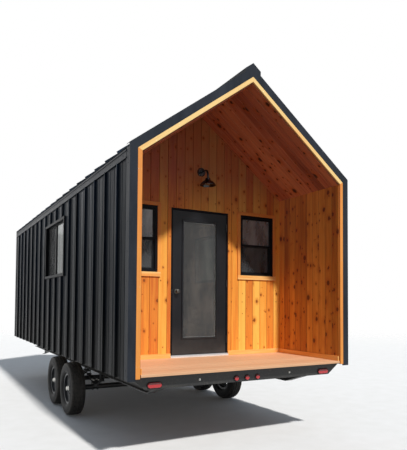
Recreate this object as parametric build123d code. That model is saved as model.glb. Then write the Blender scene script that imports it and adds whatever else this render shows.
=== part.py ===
from build123d import *
import os
from math import atan2, cos, hypot, pi, sin, sqrt

# Tiny house on a tandem-axle deck-over trailer. Millimetres, +Z up.
# +Y runs from the porch end to the tongue, and +X is to the right for someone facing the porch.

# Body
body_width = 3048            # over the standing seams of both side walls, ten feet
body_length = 7315           # porch trim face to the seams of the back wall, 24 feet
porch_depth = 1240           # trim face back to the boards beside the door
eave_height = 2270           # deck to the inside corner of wall and ceiling
roof_pitch = 0.75            # nine in twelve

# Build-up of walls and roof, each square to its own surface
seam_height = 25
seam_width = 12
seam_lean = 1.5              # each side of a seam leans in by this much
seam_pitch = 406.4           # sixteen inch panels
first_seam = 346             # from the trim face
pan_thickness = 4
rib_height = 3               # pencil ribs that stiffen each pan
rib_width = 22
wall_core = 119              # studs, sheathing and battens
roof_core = 104              # rafters and sheathing
lining_thickness = 18        # tongue and groove boards
floor_thickness = 27
siding_drop = 32             # siding below the frame's top

# Trim
trim_thickness = 19
cedar_trim_width = 60
cedar_trim_drop = 14         # trim posts below the deck's underside
metal_trim_return = 100      # leg of the metal trim round the corner
metal_trim_lap = 6           # metal trim proud of the pans
eave_trim_height = 90
eave_trim_depth = 16
eave_trim_lip = 4            # hem of the eave trim below its flat
eave_trim_step = 12
ridge_cap_reach = 105        # level distance covered on each side of the ridge
ridge_cap_rise = 39          # cap above the seams
ridge_gap = 8                # panels stop this far from the ridge
base_trim_height = 60
base_trim_thickness = 14
casing_width = 44
casing_sill = 60
deck_setback = 3             # deck edge behind the trim face

# Door, hung at its right edge and opening outwards
door_frame_width = 894
head_drop = 270              # inside eave corner down to the heads of the door and windows
door_jamb = 22
door_gap = 8
door_thickness = 44
door_recess = 12             # door face behind the boards
door_stop = 14
threshold_height = 30
threshold_nose = 22          # threshold ahead of the boards
lite_frame_width = 565
lite_rail_low = 235          # deck to the underside of the lite frame
lite_rail_high = 145         # lite frame to the top of the door frame
lite_frame_bar = 26
lite_frame_rise = 9
lite_bevel = 6
door_glass_thickness = 18
hinge_radius = 8
hinge_pin_radius = 4
hinge_clearance = 0.08
hinge_height = 102
hinge_plate = 2.5
hinge_leaf = 40
hinge_standoff = 9           # hinge axis ahead of the door face
hinge_inset = 180            # door's top and bottom edges to the middle of a hinge
knob_height = 880            # deck to the knob
knob_backset = 60
knob_radius = 29
knob_reach = 66              # door face to the front of the knob
knob_depth = 38
knob_neck_radius = 13
rose_radius = 33
rose_thickness = 9

# Windows
porch_window_width = 586
porch_window_height = 872
porch_window_margin = 125    # side boards to the window
side_window_width = 1300
side_window_height = 886
side_window_start = 2651     # from the trim face
window_frame_bar = 30
window_reveal = 12           # frame face to the outer sash
sash_bar = 24
sash_depth = 30
glass_thickness = 5
flashing_width = 38

# Trailer frame
rear_beam_height = 145
rear_beam_flange = 60
rear_beam_setback = 110      # beam face behind the trim face
frame_inset = 262            # end of a full-depth web inside the widest line
outrigger_tip = 20           # depth of the web under the walls
outrigger_lip = 65           # level end of that web
cross_height = 76
cross_flange = 40
cross_pitch = 610
steel = 6
main_beam_height = 203
main_beam_flange = 100
main_beam_steel = 9
main_beam_inset = 524        # beam's middle inside the widest line
main_beam_taper = 420        # length over which the foot rises to the rear beam
tongue_length = 1320         # back wall to the coupler's nose
tongue_beam_height = 102
tongue_beam_width = 50
tongue_root = 900            # length of the tongue beams under the main beams
coupler_length = 250
coupler_half_width = 34
coupler_height = 72
coupler_nose_radius = 52
ball_radius = 30             # socket for a 2 5/16 inch ball
ball_depth = 42
jack_place = 760             # back wall to the jack
jack_radius = 30
jack_ram_radius = 23
jack_travel = 330            # ram showing below the tube
jack_height = 1040
jack_foot_width = 180
jack_plate_width = 500
jack_crank = 120
crank_radius = 9
crank_grip_radius = 11
light_width = 160
light_height = 58
light_depth = 18
light_inset = 97             # beam's end to the middle of the light
light_rise = 42              # beam's lower edge to the middle of the lights
marker_radius = 28
marker_pitch = 147

# Running gear
wheel_radius = 386           # sixteen inch trailer wheel with its tyre
tyre_width = 215
tyre_inset = 73              # tyre's outer face inside the widest line
tyre_wall = 24
tyre_shoulder = 34           # width of the rounded shoulder
tyre_crown = 78              # width of the crown's slope
tyre_crown_drop = 5
bead_inset = 12              # rim's edge to the bead
bead_width = 14
rim_radius = 203
rim_width = 152
rim_flange = 18              # height of the rim's edge above the bead seat
rim_steel = 7
rim_lip = 8                  # width of the rim's edge
well_depth = 24
well_inner = 12              # wheel's middle to the inner side of the well
well_outer = 24
well_slope = 9
disc_steel = 7
disc_dish = 6                # hub face to the disc's foot
disc_bend = 27               # well to the disc's bend
first_axle = 2714            # from the trim face
axle_pitch = 889
axle_radius = 38
spindle_radius = 22
bearing_clearance = 0.06
spindle_reach = 43           # wheel's middle to the spindle's end
spindle_room = 6             # spindle's end to the grease cap
drum_radius = 130
drum_depth = 88
drum_wall = 10
drum_gap = 22                # wheel's middle to the drum's face
hub_flange_radius = 82
hub_radius = 42
hub_length = 60
cap_radius = 30
cap_length = 8
brake_plate = 8
brake_gap = 6                # drum's edge to the brake plate
hand_holes = 8
hand_hole_radius = 17
hand_hole_circle = 124
spring_seat = 8
spring_length = 660          # between the eyes
spring_width = 45
spring_camber = 62           # rise from the pack's middle to its eyes
leaf_thickness = 8
leaf_count = 5
eye_radius = 20
bolt_radius = 8
bolt_clearance = 0.3
link_thickness = 7
equaliser_reach = 78
equaliser_rise = 46          # equaliser's bolts above the spring eyes
hanger_drop = 99             # main beam down to the spring eyes
clamp_radius = 7

# Porch lamp
lamp_height = 2527           # deck to the middle of the back plate
lamp_plate_radius = 60
lamp_plate_thickness = 22
lamp_arm_radius = 13
lamp_arm_bend = 78
lamp_arm_drop = 38
lamp_reach = 190
lamp_shade_radius = 110
lamp_shade_height = 103
lamp_shade_wall = 4

# Planes across the house
half_width = body_width / 2
pan_x = half_width - seam_height
core_x = pan_x - pan_thickness
inner_x = core_x - wall_core
lining_x = inner_x - lining_thickness
trim_x = lining_x + cedar_trim_width
metal_x = pan_x + metal_trim_lap
frame_end = half_width - frame_inset
beam_x = half_width - main_beam_inset
tyre_face = half_width - tyre_inset
wheel_x = tyre_face - tyre_width / 2

# Planes along the house, measured from the trim face
overall_length = body_length + tongue_length
front = -overall_length / 2
back_pan_y = body_length - seam_height
back_core_y = back_pan_y - pan_thickness
back_inner_y = back_core_y - wall_core
porch_core_y = porch_depth + lining_thickness
porch_inner_y = porch_core_y + wall_core
jack_y = body_length + jack_place

# Heights, built up from the tyres
leaf_seat = wheel_radius + axle_radius + spring_seat
eye_z = leaf_seat + leaf_thickness * (leaf_count - 0.5) + spring_camber
main_low = eye_z + hanger_drop
cross_bottom = main_low + main_beam_height
frame_top = cross_bottom + cross_height
deck_height = frame_top + floor_thickness
rear_beam_low = frame_top - rear_beam_height
siding_bottom = frame_top - siding_drop
tongue_low = main_low - tongue_beam_height
door_top = deck_height + eave_height - head_drop

# Layers of the roof above the face of the ceiling boards
pan_lift = lining_thickness + roof_core
seam_lift = pan_lift + pan_thickness + seam_height
slope_run = cos(atan2(roof_pitch, 1))
slope_rise = sin(atan2(roof_pitch, 1))

os.makedirs("parts", exist_ok=True)


def roof_z(x, lift):
    """Height at distance x from the middle of the roof layer that lies lift above the ceiling's face."""
    return deck_height + eave_height + roof_pitch * (lining_x - abs(x)) + lift / slope_run


def block(x0, x1, y0, y1, z0, z1):
    """Box between two corners; y is measured from the porch trim face."""
    middle = ((x0 + x1) / 2, front + (y0 + y1) / 2, (z0 + z1) / 2)
    return Pos(*middle) * Box(abs(x1 - x0), abs(y1 - y0), abs(z1 - z0))


def drawn(points, move):
    """Solid swept by the polygon through the points as it moves along a vector."""
    return Solid.extrude(Face(Wire.make_polygon(points, close=True)), Vector(*move))


def along_y(outline, y0, y1):
    """Outline of (x, z) points drawn out along the house."""
    return drawn([Vector(x, front + y0, z) for x, z in outline], (0, y1 - y0, 0))


def along_x(outline, x0, x1):
    """Outline of (y, z) points drawn out across the house."""
    return drawn([Vector(x0, front + y, z) for y, z in outline], (x1 - x0, 0, 0))


def along_z(outline, z0, z1):
    """Outline of (x, y) points drawn upwards."""
    return drawn([Vector(x, front + y, z0) for x, y in outline], (0, 0, z1 - z0))


def rod(start, end, radius):
    """Round bar between two points; y is measured from the porch trim face."""
    a = Vector(start[0], front + start[1], start[2])
    b = Vector(end[0], front + end[1], end[2])
    return Solid.make_cylinder(radius, (b - a).length, Plane(origin=a, z_dir=b - a))


def mirrored(shape):
    return mirror(shape, about=Plane.YZ)


def fused(first, *rest):
    """One solid from pieces that overlap or share faces."""
    return first.fuse(*rest).clean() if rest else first


def save(node, *pieces):
    solids = [s for piece in pieces for s in piece.solids()]
    shape = solids[0] if len(solids) == 1 else Compound(solids)
    export_step(shape, "parts/" + node + ".step")


def save_pair(node, piece):
    """The right-hand piece and its mirror image, as two nodes."""
    save(node + "_right", piece)
    save(node + "_left", mirrored(piece))


def save_both(node, *pieces):
    """Right-hand pieces and their mirror images, as one node."""
    save(node, *pieces, *[mirrored(piece) for piece in pieces])


# Walls and floor

def gable_outline(bottom, edge, lift):
    """Five-sided end of the house up to one layer of the roof."""
    eave = roof_z(edge, lift)
    return [(-edge, bottom), (edge, bottom), (edge, eave), (0, roof_z(0, lift)), (-edge, eave)]


def side_window_gap(x0, x1, margin=0):
    """Block that clears the side window's hole, less a margin all round."""
    y0 = side_window_start + margin
    y1 = side_window_start + side_window_width - margin
    return block(x0, x1, y0, y1, door_top - side_window_height + margin, door_top - margin)


def side_wall():
    eave_in = roof_z(inner_x, lining_thickness)
    eave_out = roof_z(core_x, lining_thickness)
    outline = [(inner_x, frame_top), (core_x, frame_top), (core_x, eave_out), (inner_x, eave_in)]
    return along_y(outline, trim_thickness, back_core_y) - side_window_gap(inner_x - 1, core_x + 1)


porch_window_right = lining_x - porch_window_margin
porch_window_left = porch_window_right - porch_window_width
porch_window_sill = door_top - porch_window_height


def beside_door(y0, y1):
    """Wall or boards to the right of the door, up to the door's head, with the window cut through."""
    piece = block(door_frame_width / 2, inner_x, y0, y1, deck_height, door_top)
    return piece - block(porch_window_left, porch_window_right, y0 - 1, y1 + 1, porch_window_sill, door_top)


wall_gable = gable_outline(door_top, inner_x, lining_thickness)
save_pair("side_wall", side_wall())
save_pair("front_wall", beside_door(porch_core_y, porch_inner_y))
save("front_wall_gable", along_y(wall_gable, porch_core_y, porch_inner_y))
save("back_wall", along_y(gable_outline(deck_height, inner_x, lining_thickness), back_inner_y, back_core_y))
save("house_floor", block(-inner_x, inner_x, porch_depth, back_core_y, frame_top, deck_height))
save("porch_deck", block(-lining_x, lining_x, deck_setback, porch_depth, frame_top, deck_height))


# Boards that line the porch

def porch_side_boards():
    top_in = roof_z(lining_x, 0)
    top_out = roof_z(inner_x, 0)
    outline = [(lining_x, frame_top), (inner_x, frame_top), (inner_x, top_out), (lining_x, top_in)]
    return along_y(outline, trim_thickness, porch_depth)


def ceiling_boards():
    outline = [(0, roof_z(0, 0)), (inner_x, roof_z(inner_x, 0))]
    outline += [(inner_x, roof_z(inner_x, lining_thickness)), (0, roof_z(0, lining_thickness))]
    return along_y(outline, trim_thickness, porch_depth)


save_both("porch_side_boards", porch_side_boards())
save_pair("porch_ceiling_boards", ceiling_boards())
save_both("porch_back_boards", beside_door(porch_depth, porch_core_y))
save("porch_gable_boards", along_y(wall_gable, porch_depth, porch_core_y))


# Roof and metal skin

def roof_slab():
    outline = [(0, roof_z(0, lining_thickness)), (core_x, roof_z(core_x, lining_thickness))]
    outline += [(core_x, roof_z(core_x, pan_lift)), (0, roof_z(0, pan_lift))]
    return along_y(outline, trim_thickness, back_core_y)


def seam_places():
    """Distances from the trim face at which a seam starts, up to the back corner trim."""
    count = int((back_core_y - metal_trim_return - first_seam - seam_width) // seam_pitch) + 1
    return [first_seam + n * seam_pitch for n in range(count)]


def skin_profile(start, end, seams):
    """Folded skin: distance along it and height above the core, with two pencil ribs in each pan."""
    face = pan_thickness
    top = face + seam_height
    outline = [(start, 0), (end, 0), (end, face)]
    edges = [end] + [edge for seam in reversed(seams) for edge in (seam + seam_width, seam)] + [start]
    for high, low in zip(edges[0::2], edges[1::2]):
        for share in (2 / 3, 1 / 3):
            middle = low + (high - low) * share
            if high - low > 6 * rib_width:
                outline += [(middle + rib_width / 2, face), (middle + rib_width / 4, face + rib_height)]
                outline += [(middle - rib_width / 4, face + rib_height), (middle - rib_width / 2, face)]
        if low != start:
            outline += [(low, face), (low - seam_lean, top)]
            outline += [(low - seam_width + seam_lean, top), (low - seam_width, face)]
    return outline + [(start, face)]


def roof_panels():
    eave_x = half_width - slope_rise * (seam_height + pan_thickness)
    profile = skin_profile(trim_thickness, back_core_y, seam_places())
    corner = Vector(eave_x, front, roof_z(eave_x, pan_lift))
    normal = Vector(slope_rise, 0, slope_run)
    length = (eave_x - ridge_gap) / slope_run
    points = [corner + Vector(0, y, 0) + normal * height for y, height in profile]
    return drawn(points, (-slope_run * length, 0, slope_rise * length))


def ridge_cap():
    """Folded sheet over the ridge, with its edges turned down to the seams."""
    top = seam_lift + ridge_cap_rise
    under = top - pan_thickness
    edge = ridge_cap_reach - pan_thickness
    outline = [(0, roof_z(0, top)), (ridge_cap_reach, roof_z(ridge_cap_reach, top))]
    outline += [(ridge_cap_reach, roof_z(ridge_cap_reach, seam_lift)), (edge, roof_z(edge, seam_lift))]
    outline += [(edge, roof_z(edge, under)), (0, roof_z(0, under))]
    half = along_y(outline, 0, body_length)
    return fused(half, mirrored(half))


eave_trim_high = roof_z(half_width, pan_lift)
eave_trim_low = eave_trim_high - eave_trim_height


def side_siding():
    top = roof_z(core_x, pan_lift) - seam_height / 2
    profile = [(core_x + height, y) for y, height in skin_profile(trim_thickness, back_core_y, seam_places())]
    skin = along_z(profile, siding_bottom, top)
    skin -= block(pan_x, half_width + 1, 0, body_length, eave_trim_low - eave_trim_lip, top + 1)
    return skin - side_window_gap(core_x - 1, half_width + 1)


def back_siding():
    """Gable skin with its seams standing on it, each cut to the slope of the trim above."""
    ribs = []
    count = int((pan_x - metal_trim_return) // seam_pitch)
    for n in range(-count, count + 1):
        x0 = n * seam_pitch - seam_width / 2
        x1 = x0 + seam_width
        ridge = [(0, roof_z(0, cedar_trim_width))] if n == 0 else []
        outline = [(x0, siding_bottom), (x1, siding_bottom), (x1, roof_z(x1, cedar_trim_width))]
        outline += ridge + [(x0, roof_z(x0, cedar_trim_width))]
        ribs.append(along_y(outline, back_pan_y, body_length))
    return fused(along_y(gable_outline(siding_bottom, pan_x, pan_lift), back_core_y, back_pan_y), *ribs)


save_pair("roof", roof_slab())
save_both("roof_panels", roof_panels())
save("ridge_cap", ridge_cap())
save_pair("siding", side_siding())
save("siding_back", back_siding())


# Trim of metal and cedar

def ring(outer_x, outer_lift, inner_edge, inner_lift, bottom, y0, y1):
    """Five-sided band round the end of the house, open at the bottom."""
    outline = [(-outer_x, bottom), (-outer_x, roof_z(outer_x, outer_lift)), (0, roof_z(0, outer_lift))]
    outline += [(outer_x, roof_z(outer_x, outer_lift)), (outer_x, bottom), (inner_edge, bottom)]
    outline += [(inner_edge, roof_z(inner_edge, inner_lift)), (0, roof_z(0, inner_lift))]
    outline += [(-inner_edge, roof_z(inner_edge, inner_lift)), (-inner_edge, bottom)]
    return along_y(outline, y0, y1)


def metal_trim(y_face, y_back):
    """Face band with its legs round the corners and over the roof's edge."""
    inward = 1 if y_back > y_face else -1
    y0, y1 = sorted((y_face, y_back))
    face = ring(metal_x, seam_lift, trim_x, cedar_trim_width, siding_bottom, y0, y1)
    y0, y1 = sorted((y_back, y_face + inward * metal_trim_return))
    side = [(pan_x, siding_bottom), (metal_x, siding_bottom), (metal_x, roof_z(metal_x, pan_lift))]
    side = along_y(side + [(pan_x, roof_z(pan_x, pan_lift))], y0, y1)
    under = seam_lift - pan_thickness
    cap = [(0, roof_z(0, under)), (metal_x, roof_z(metal_x, under)), (metal_x, roof_z(metal_x, seam_lift))]
    cap = along_y(cap + [(0, roof_z(0, seam_lift))], y0, y1)
    return fused(face, side, mirrored(side), cap, mirrored(cap))


def eave_trim():
    """Folded trim under the roof's edge: a drip fold, a flat and a hem."""
    low = eave_trim_low
    high = eave_trim_high
    deep = pan_x + eave_trim_depth
    flat = pan_x + eave_trim_depth / 2
    step = eave_trim_step
    lip = eave_trim_lip
    outline = [(pan_x, low), (deep, low - lip), (deep, low + step - lip), (flat, low + step)]
    outline += [(flat, high - 2 * step), (deep, high - 2 * step + lip), (deep, high - lip), (pan_x, high)]
    return along_y(outline, metal_trim_return, body_length - metal_trim_return)


def base_trim():
    """Small boards along the foot of the porch walls, right half."""
    top = deck_height + base_trim_height
    thick = base_trim_thickness
    side = block(lining_x - thick, lining_x, trim_thickness, porch_depth, deck_height, top)
    back = block(door_frame_width / 2, lining_x, porch_depth - thick, porch_depth, deck_height, top)
    return fused(side, back)


def casing():
    """Flat boards round the right-hand porch window."""
    left = porch_window_left
    right = porch_window_right
    low = porch_window_sill
    face = porch_depth - lining_thickness
    outer = block(left - casing_width, right + casing_width, face, porch_depth, low - casing_sill,
                  door_top + casing_width)
    return outer - block(left, right, face - 1, porch_depth + 1, low, door_top)


save("front_metal_trim", metal_trim(0, trim_thickness))
save("back_metal_trim", metal_trim(body_length, back_pan_y))
trim_bottom = frame_top - cedar_trim_drop
save("opening_trim", ring(trim_x, cedar_trim_width, lining_x, 0, trim_bottom, 0, trim_thickness))
save_both("eave_trim", eave_trim())
save_both("porch_trim_boards", base_trim(), casing())


# Windows

def hollow(width, depth, height, bar):
    """Rectangular frame with bars of one width."""
    return Box(width, depth, height) - Box(width - 2 * bar, depth + 2, height - 2 * bar)


def framed_light(width, height, depth, hung):
    """Window standing on the XZ plane with its face at y = 0: frame with two sashes, and their panes."""
    inner_w = width - 2 * window_frame_bar
    inner_h = height - 2 * window_frame_bar
    sashes = []
    panes = []
    for side in (1, -1):
        w = inner_w if hung else (inner_w + sash_bar) / 2
        h = (inner_h + sash_bar) / 2 if hung else inner_h
        track = 0 if side > 0 else 1
        across = 0 if hung else -side * (inner_w - w) / 2
        up = side * (inner_h - h) / 2 if hung else 0
        place = Pos(across, window_reveal + sash_depth * (track + 0.5), up)
        sashes.append(place * hollow(w, sash_depth, h, sash_bar))
        panes.append(place * Box(w - 2 * sash_bar, glass_thickness, h - 2 * sash_bar))
    frame = Pos(0, depth / 2, 0) * hollow(width, depth, height, window_frame_bar)
    return fused(frame, *sashes), panes


window_middle = (porch_window_left + porch_window_right) / 2
porch_place = Pos(window_middle, front + porch_depth, door_top - porch_window_height / 2)
porch_wall = porch_inner_y - porch_depth
porch_frame, porch_panes = framed_light(porch_window_width, porch_window_height, porch_wall, True)
save_both("porch_window_frames", porch_place * porch_frame)
save_both("porch_window_glass", *[porch_place * pane for pane in porch_panes])

side_place = Pos(pan_x, front + side_window_start + side_window_width / 2, door_top - side_window_height / 2)
side_place = side_place * Rot(0, 0, 90)
side_frame, side_panes = framed_light(side_window_width, side_window_height, pan_x - inner_x, False)
flashing = side_window_gap(pan_x, half_width) - side_window_gap(pan_x - 1, half_width + 1, flashing_width)
save_both("side_window_frames", fused(side_place * side_frame, flashing))
save_both("side_window_glass", *[side_place * pane for pane in side_panes])


# Door

frame_half = door_frame_width / 2
jamb_x = frame_half - door_jamb
leaf_half = jamb_x - door_gap
leaf_low = deck_height + threshold_height + door_gap
leaf_high = door_top - door_jamb - door_gap
leaf_face = porch_depth + door_recess
leaf_back = leaf_face + door_thickness
hinge_x = leaf_half + door_gap / 2
hinge_y = leaf_face - hinge_standoff
hinge_places = [leaf_low + hinge_inset, (leaf_low + leaf_high) / 2, leaf_high - hinge_inset]
lite_low = deck_height + lite_rail_low
lite_high = door_top - lite_rail_high
glass_half = lite_frame_width / 2 - lite_frame_bar


def portal(bar, y0, y1):
    """Two jambs and a head, standing on the threshold."""
    foot = deck_height + threshold_height
    outer = block(-frame_half, frame_half, y0, y1, foot, door_top)
    return outer - block(-frame_half + bar, frame_half - bar, y0 - 1, y1 + 1, foot - 1, door_top - bar)


def door_frame():
    stop_y = leaf_back + door_gap
    jambs = portal(door_jamb, leaf_face, porch_inner_y)
    return fused(jambs, portal(door_jamb + door_stop, stop_y, stop_y + door_stop))


def threshold():
    top = deck_height + threshold_height
    nose = porch_depth - threshold_nose
    outline = [(nose, deck_height), (porch_inner_y, deck_height), (porch_inner_y, top)]
    outline += [(leaf_face - 4, top), (nose, top - threshold_height * 0.4)]
    return along_x(outline, -frame_half, frame_half)


def lite_hole(y0, y1):
    """Block as wide and high as the door's glass."""
    return block(-glass_half, glass_half, y0, y1, lite_low + lite_frame_bar, lite_high - lite_frame_bar)


def door_leaf():
    """Flush leaf with a raised, bevelled frame round its glass on both faces."""
    half = lite_frame_width / 2
    band = block(-half, half, leaf_face - lite_frame_rise, leaf_back + lite_frame_rise, lite_low, lite_high)
    faces = band.faces().filter_by(Axis.Y)
    band = chamfer([edge for face in faces for edge in face.edges()], lite_bevel)
    leaf = fused(block(-leaf_half, leaf_half, leaf_face, leaf_back, leaf_low, leaf_high), band)
    return leaf - lite_hole(leaf_face - 2 * lite_frame_rise, leaf_back + 2 * lite_frame_rise)


def door_glass():
    middle = (leaf_face + leaf_back) / 2
    return lite_hole(middle - door_glass_thickness / 2, middle + door_glass_thickness / 2)


def hinge_bar(z0, z1, radius):
    return rod((hinge_x, hinge_y, z0), (hinge_x, hinge_y, z1), radius)


def frame_hinges():
    """Plates on the jamb, each with its two outer knuckles and the pin."""
    pieces = []
    third = hinge_height / 3
    for z in hinge_places:
        low = z - hinge_height / 2
        high = z + hinge_height / 2
        plate = block(jamb_x - hinge_plate, jamb_x, leaf_face, leaf_face + hinge_leaf, low, high)
        piece = fused(plate, hinge_bar(low, high, hinge_pin_radius))
        for z0, z1 in ((low, low + third), (high - third, high)):
            arm = block(jamb_x - hinge_plate, jamb_x, hinge_y, leaf_face + 1, z0, z1)
            piece = fused(piece, hinge_bar(z0, z1, hinge_radius), arm)
        pieces.append(piece)
    return pieces


def leaf_hinges():
    """Plates on the door's edge, each with the middle knuckle."""
    pieces = []
    half = hinge_height / 6 - 1
    for z in hinge_places:
        x1 = leaf_half + hinge_plate
        low = z - hinge_height / 2
        plate = block(leaf_half, x1, leaf_face, leaf_face + hinge_leaf, low, low + hinge_height)
        arm = block(leaf_half, x1, hinge_y, leaf_face + 1, z - half, z + half)
        bore = hinge_bar(z - half - 1, z + half + 1, hinge_pin_radius + hinge_clearance)
        pieces.append(fused(plate, arm, hinge_bar(z - half, z + half, hinge_radius)) - bore)
    return pieces


def knob(face, out):
    """Knob turned with its neck and rose; out is -1 ahead of the door and 1 behind it."""
    x = -leaf_half + knob_backset
    z = deck_height + knob_height

    def point(radius, depth):
        return (x + radius, front + face + out * depth, z)

    root = knob_reach - knob_depth
    middle = knob_reach - knob_depth * 0.55
    crown = knob_radius * 0.5
    foot = [point(0, 0), point(rose_radius, 0), point(rose_radius, rose_thickness / 2)]
    foot += [point(knob_neck_radius + 3, rose_thickness), point(knob_neck_radius, rose_thickness + 5)]
    foot += [point(knob_neck_radius, root)]
    edges = [Line(a, b) for a, b in zip(foot, foot[1:])]
    waist = point(knob_radius, middle)
    top = point(crown, knob_reach - 1)
    edges.append(ThreePointArc(foot[-1], point(knob_radius * 0.9, root + knob_depth * 0.17), waist))
    edges.append(ThreePointArc(waist, point(knob_radius * 0.88, knob_reach - knob_depth * 0.16), top))
    edges += [Line(top, point(0, knob_reach)), Line(point(0, knob_reach), foot[0])]
    return Solid.revolve(Face(Wire(edges)), 360, Axis((x, front + face, z), (0, 1, 0)))


save("door_frame", door_frame())
save("door_threshold", threshold())
save("door_leaf", door_leaf())
save("door_glass", door_glass())
save("door_handle", knob(leaf_face, -1), knob(leaf_back, 1))
save("door_hinges", *frame_hinges())
save("door_hinge_leaves", *leaf_hinges())


# Porch lamp

lamp_z = deck_height + lamp_height
lamp_y = porch_depth - lamp_reach
shade_top = lamp_z - lamp_arm_bend - lamp_arm_drop
shade_low = shade_top - lamp_shade_height


def lamp_shade():
    """Spun shade: a hollow neck, a round shoulder that widens to a dome, and a rolled rim."""
    r = lamp_shade_radius
    wall = lamp_shade_wall
    high = shade_top
    step = lamp_shade_height
    dome = [(0.31, 0.08), (0.34, 0.28), (0.48, 0.41), (0.71, 0.57), (0.85, 0.735), (0.97, 0.93)]
    outside = [(0, high), (r * 0.2, high)] + [(r * across_r, high - step * drop) for across_r, drop in dome]
    outside += [(r, shade_low + step * 0.04), (r, shade_low)]
    inside = [(r - wall, shade_low)]
    inside += [(r * across_r - wall, high - step * drop - wall * 0.5) for across_r, drop in reversed(dome)]
    inside += [(0, high - step * 0.08 - wall * 0.5)]
    points = [Vector(x, front + lamp_y, z) for x, z in outside + inside]
    axis = Axis((0, front + lamp_y, 0), (0, 0, 1))
    return Solid.revolve(Face(Wire.make_polygon(points, close=True)), 360, axis)


def lamp_arm():
    """Back plate and the gooseneck that ends in the shade's neck."""
    wall = front + porch_depth
    plate = rod((0, porch_depth, lamp_z), (0, porch_depth - lamp_plate_thickness, lamp_z), lamp_plate_radius)
    rim = plate.edges().filter_by(GeomType.CIRCLE).sort_by(Axis.Y)[0]
    plate = chamfer(rim, lamp_plate_thickness * 0.35)
    turn = (0, wall - lamp_reach + lamp_arm_bend, lamp_z)
    drop = (0, wall - lamp_reach, lamp_z - lamp_arm_bend)
    path = Line((0, wall, lamp_z), turn)
    path += TangentArc(turn, drop, tangent=(0, -1, 0))
    path += Line(drop, (0, wall - lamp_reach, shade_top))
    arm = sweep(Plane(origin=(0, wall, lamp_z), z_dir=(0, -1, 0)) * Circle(lamp_arm_radius), path=path)
    return fused(plate.solid(), arm.solid())


save("porch_lamp_arm", lamp_arm())
save("porch_lamp_shade", lamp_shade())


# Trailer frame

def channel(low, y0, flange):
    """Channel across the frame, whose web tapers at both ends to a lip that carries the wall."""
    tip = frame_top - outrigger_tip
    right = [(frame_end, low), (core_x - outrigger_lip, tip), (core_x, tip), (core_x, frame_top)]
    web = along_y(right + [(-x, z) for x, z in reversed(right)], y0, y0 + steel)
    top = block(-core_x, core_x, y0, y0 + flange, frame_top - steel, frame_top)
    bottom = block(-frame_end, frame_end, y0, y0 + flange, low, low + steel)
    return fused(web, top, bottom)


def cross_places():
    """Even places from behind the rear beam to under the back wall."""
    start = rear_beam_setback + rear_beam_flange + cross_flange
    run = back_core_y - cross_flange - start
    count = int(run // cross_pitch)
    return [start + n * run / count for n in range(count + 1)]


def main_beam():
    """I-beam whose foot rises at the porch end to meet the rear beam."""
    half = main_beam_flange / 2
    web = main_beam_steel / 2
    t = main_beam_steel
    y0 = rear_beam_setback + rear_beam_flange
    end = back_core_y
    foot = [(y0, rear_beam_low), (y0 + main_beam_taper, main_low), (end, main_low)]
    plate = foot + [(y, z + t) for y, z in reversed(foot)]
    stem = along_x(foot + [(end, cross_bottom), (y0, cross_bottom)], beam_x - web, beam_x + web)
    top = block(beam_x - half, beam_x + half, y0, end, cross_bottom - t, cross_bottom)
    return fused(stem, along_x(plate, beam_x - half, beam_x + half), top)


save("rear_beam", channel(rear_beam_low, rear_beam_setback, rear_beam_flange))
save("cross_members", *[channel(cross_bottom, y, cross_flange) for y in cross_places()])


# Tongue

coupler_root = overall_length - coupler_length
tongue_start = body_length - tongue_root
tongue_slant = (beam_x - coupler_half_width) / (coupler_root - tongue_start)


def tongue_strip(w0, w1, z0, z1):
    """Strip of the right-hand tongue beam between two distances outwards from its inner line."""
    run = hypot(1, tongue_slant)
    side = (1 / run, tongue_slant / run)
    ends = [(beam_x, tongue_start), (coupler_half_width, coupler_root)]
    inner = [(x + side[0] * w0, y + side[1] * w0) for x, y in ends]
    outer = [(x + side[0] * w1, y + side[1] * w1) for x, y in reversed(ends)]
    return along_z(inner + outer, z0, z1)


def tongue_beam():
    """Channel from under the main beam to the coupler, open to the outside."""
    web = tongue_strip(0, steel, tongue_low, main_low)
    top = tongue_strip(0, tongue_beam_width, main_low - steel, main_low)
    bottom = tongue_strip(0, tongue_beam_width, tongue_low, tongue_low + steel)
    return fused(web, top, bottom)


def coupler():
    """Wedge between the tongue beams, and a pressed head with the ball socket under its nose."""
    low = tongue_low + steel * 2
    high = low + coupler_height
    rear = coupler_root - coupler_length * 0.6
    half = coupler_half_width
    spread = half + tongue_slant * (coupler_root - rear)
    nose_y = overall_length - coupler_nose_radius
    wedge = [(-spread, rear), (spread, rear), (half, coupler_root), (-half, coupler_root)]
    neck = block(-half, half, coupler_root, nose_y, low, high)
    nose = rod((0, nose_y, low - steel * 2), (0, nose_y, high), coupler_nose_radius)
    socket = rod((0, nose_y, low - steel * 3), (0, nose_y, low - steel * 2 + ball_depth), ball_radius)
    return fused(along_z(wedge, low, high), neck, nose) - socket


def tongue_jack():
    """Screw jack on a plate across the tongue beams, standing on its foot."""
    y = jack_y
    tube = rod((0, y, jack_travel), (0, y, jack_height - jack_radius), jack_radius)
    head = rod((0, y, jack_height - 1.5 * jack_radius), (0, y, jack_height), jack_radius * 1.25)
    ram = rod((0, y, steel), (0, y, jack_travel + steel), jack_ram_radius)
    wide = jack_foot_width / 2
    deep = jack_foot_width * 0.42
    foot = block(-wide, wide, y - deep, y + deep, 0, 2 * steel)
    z = jack_height - jack_radius * 0.75
    grip = rod((jack_crank, y, z - crank_radius), (jack_crank, y, z + jack_crank * 0.8), crank_grip_radius)
    crank = fused(rod((0, y, z), (jack_crank, y, z), crank_radius), grip)
    half = jack_plate_width / 2
    plate = block(-half, half, y - deep, y + deep, main_low, main_low + 1.5 * steel)
    return fused(tube, head, ram, foot, crank, plate)


save_pair("tongue_beam", tongue_beam())
save("coupler", coupler())
save("tongue_jack", tongue_jack())


# Leaf springs, with the hangers and the equaliser between them

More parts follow.
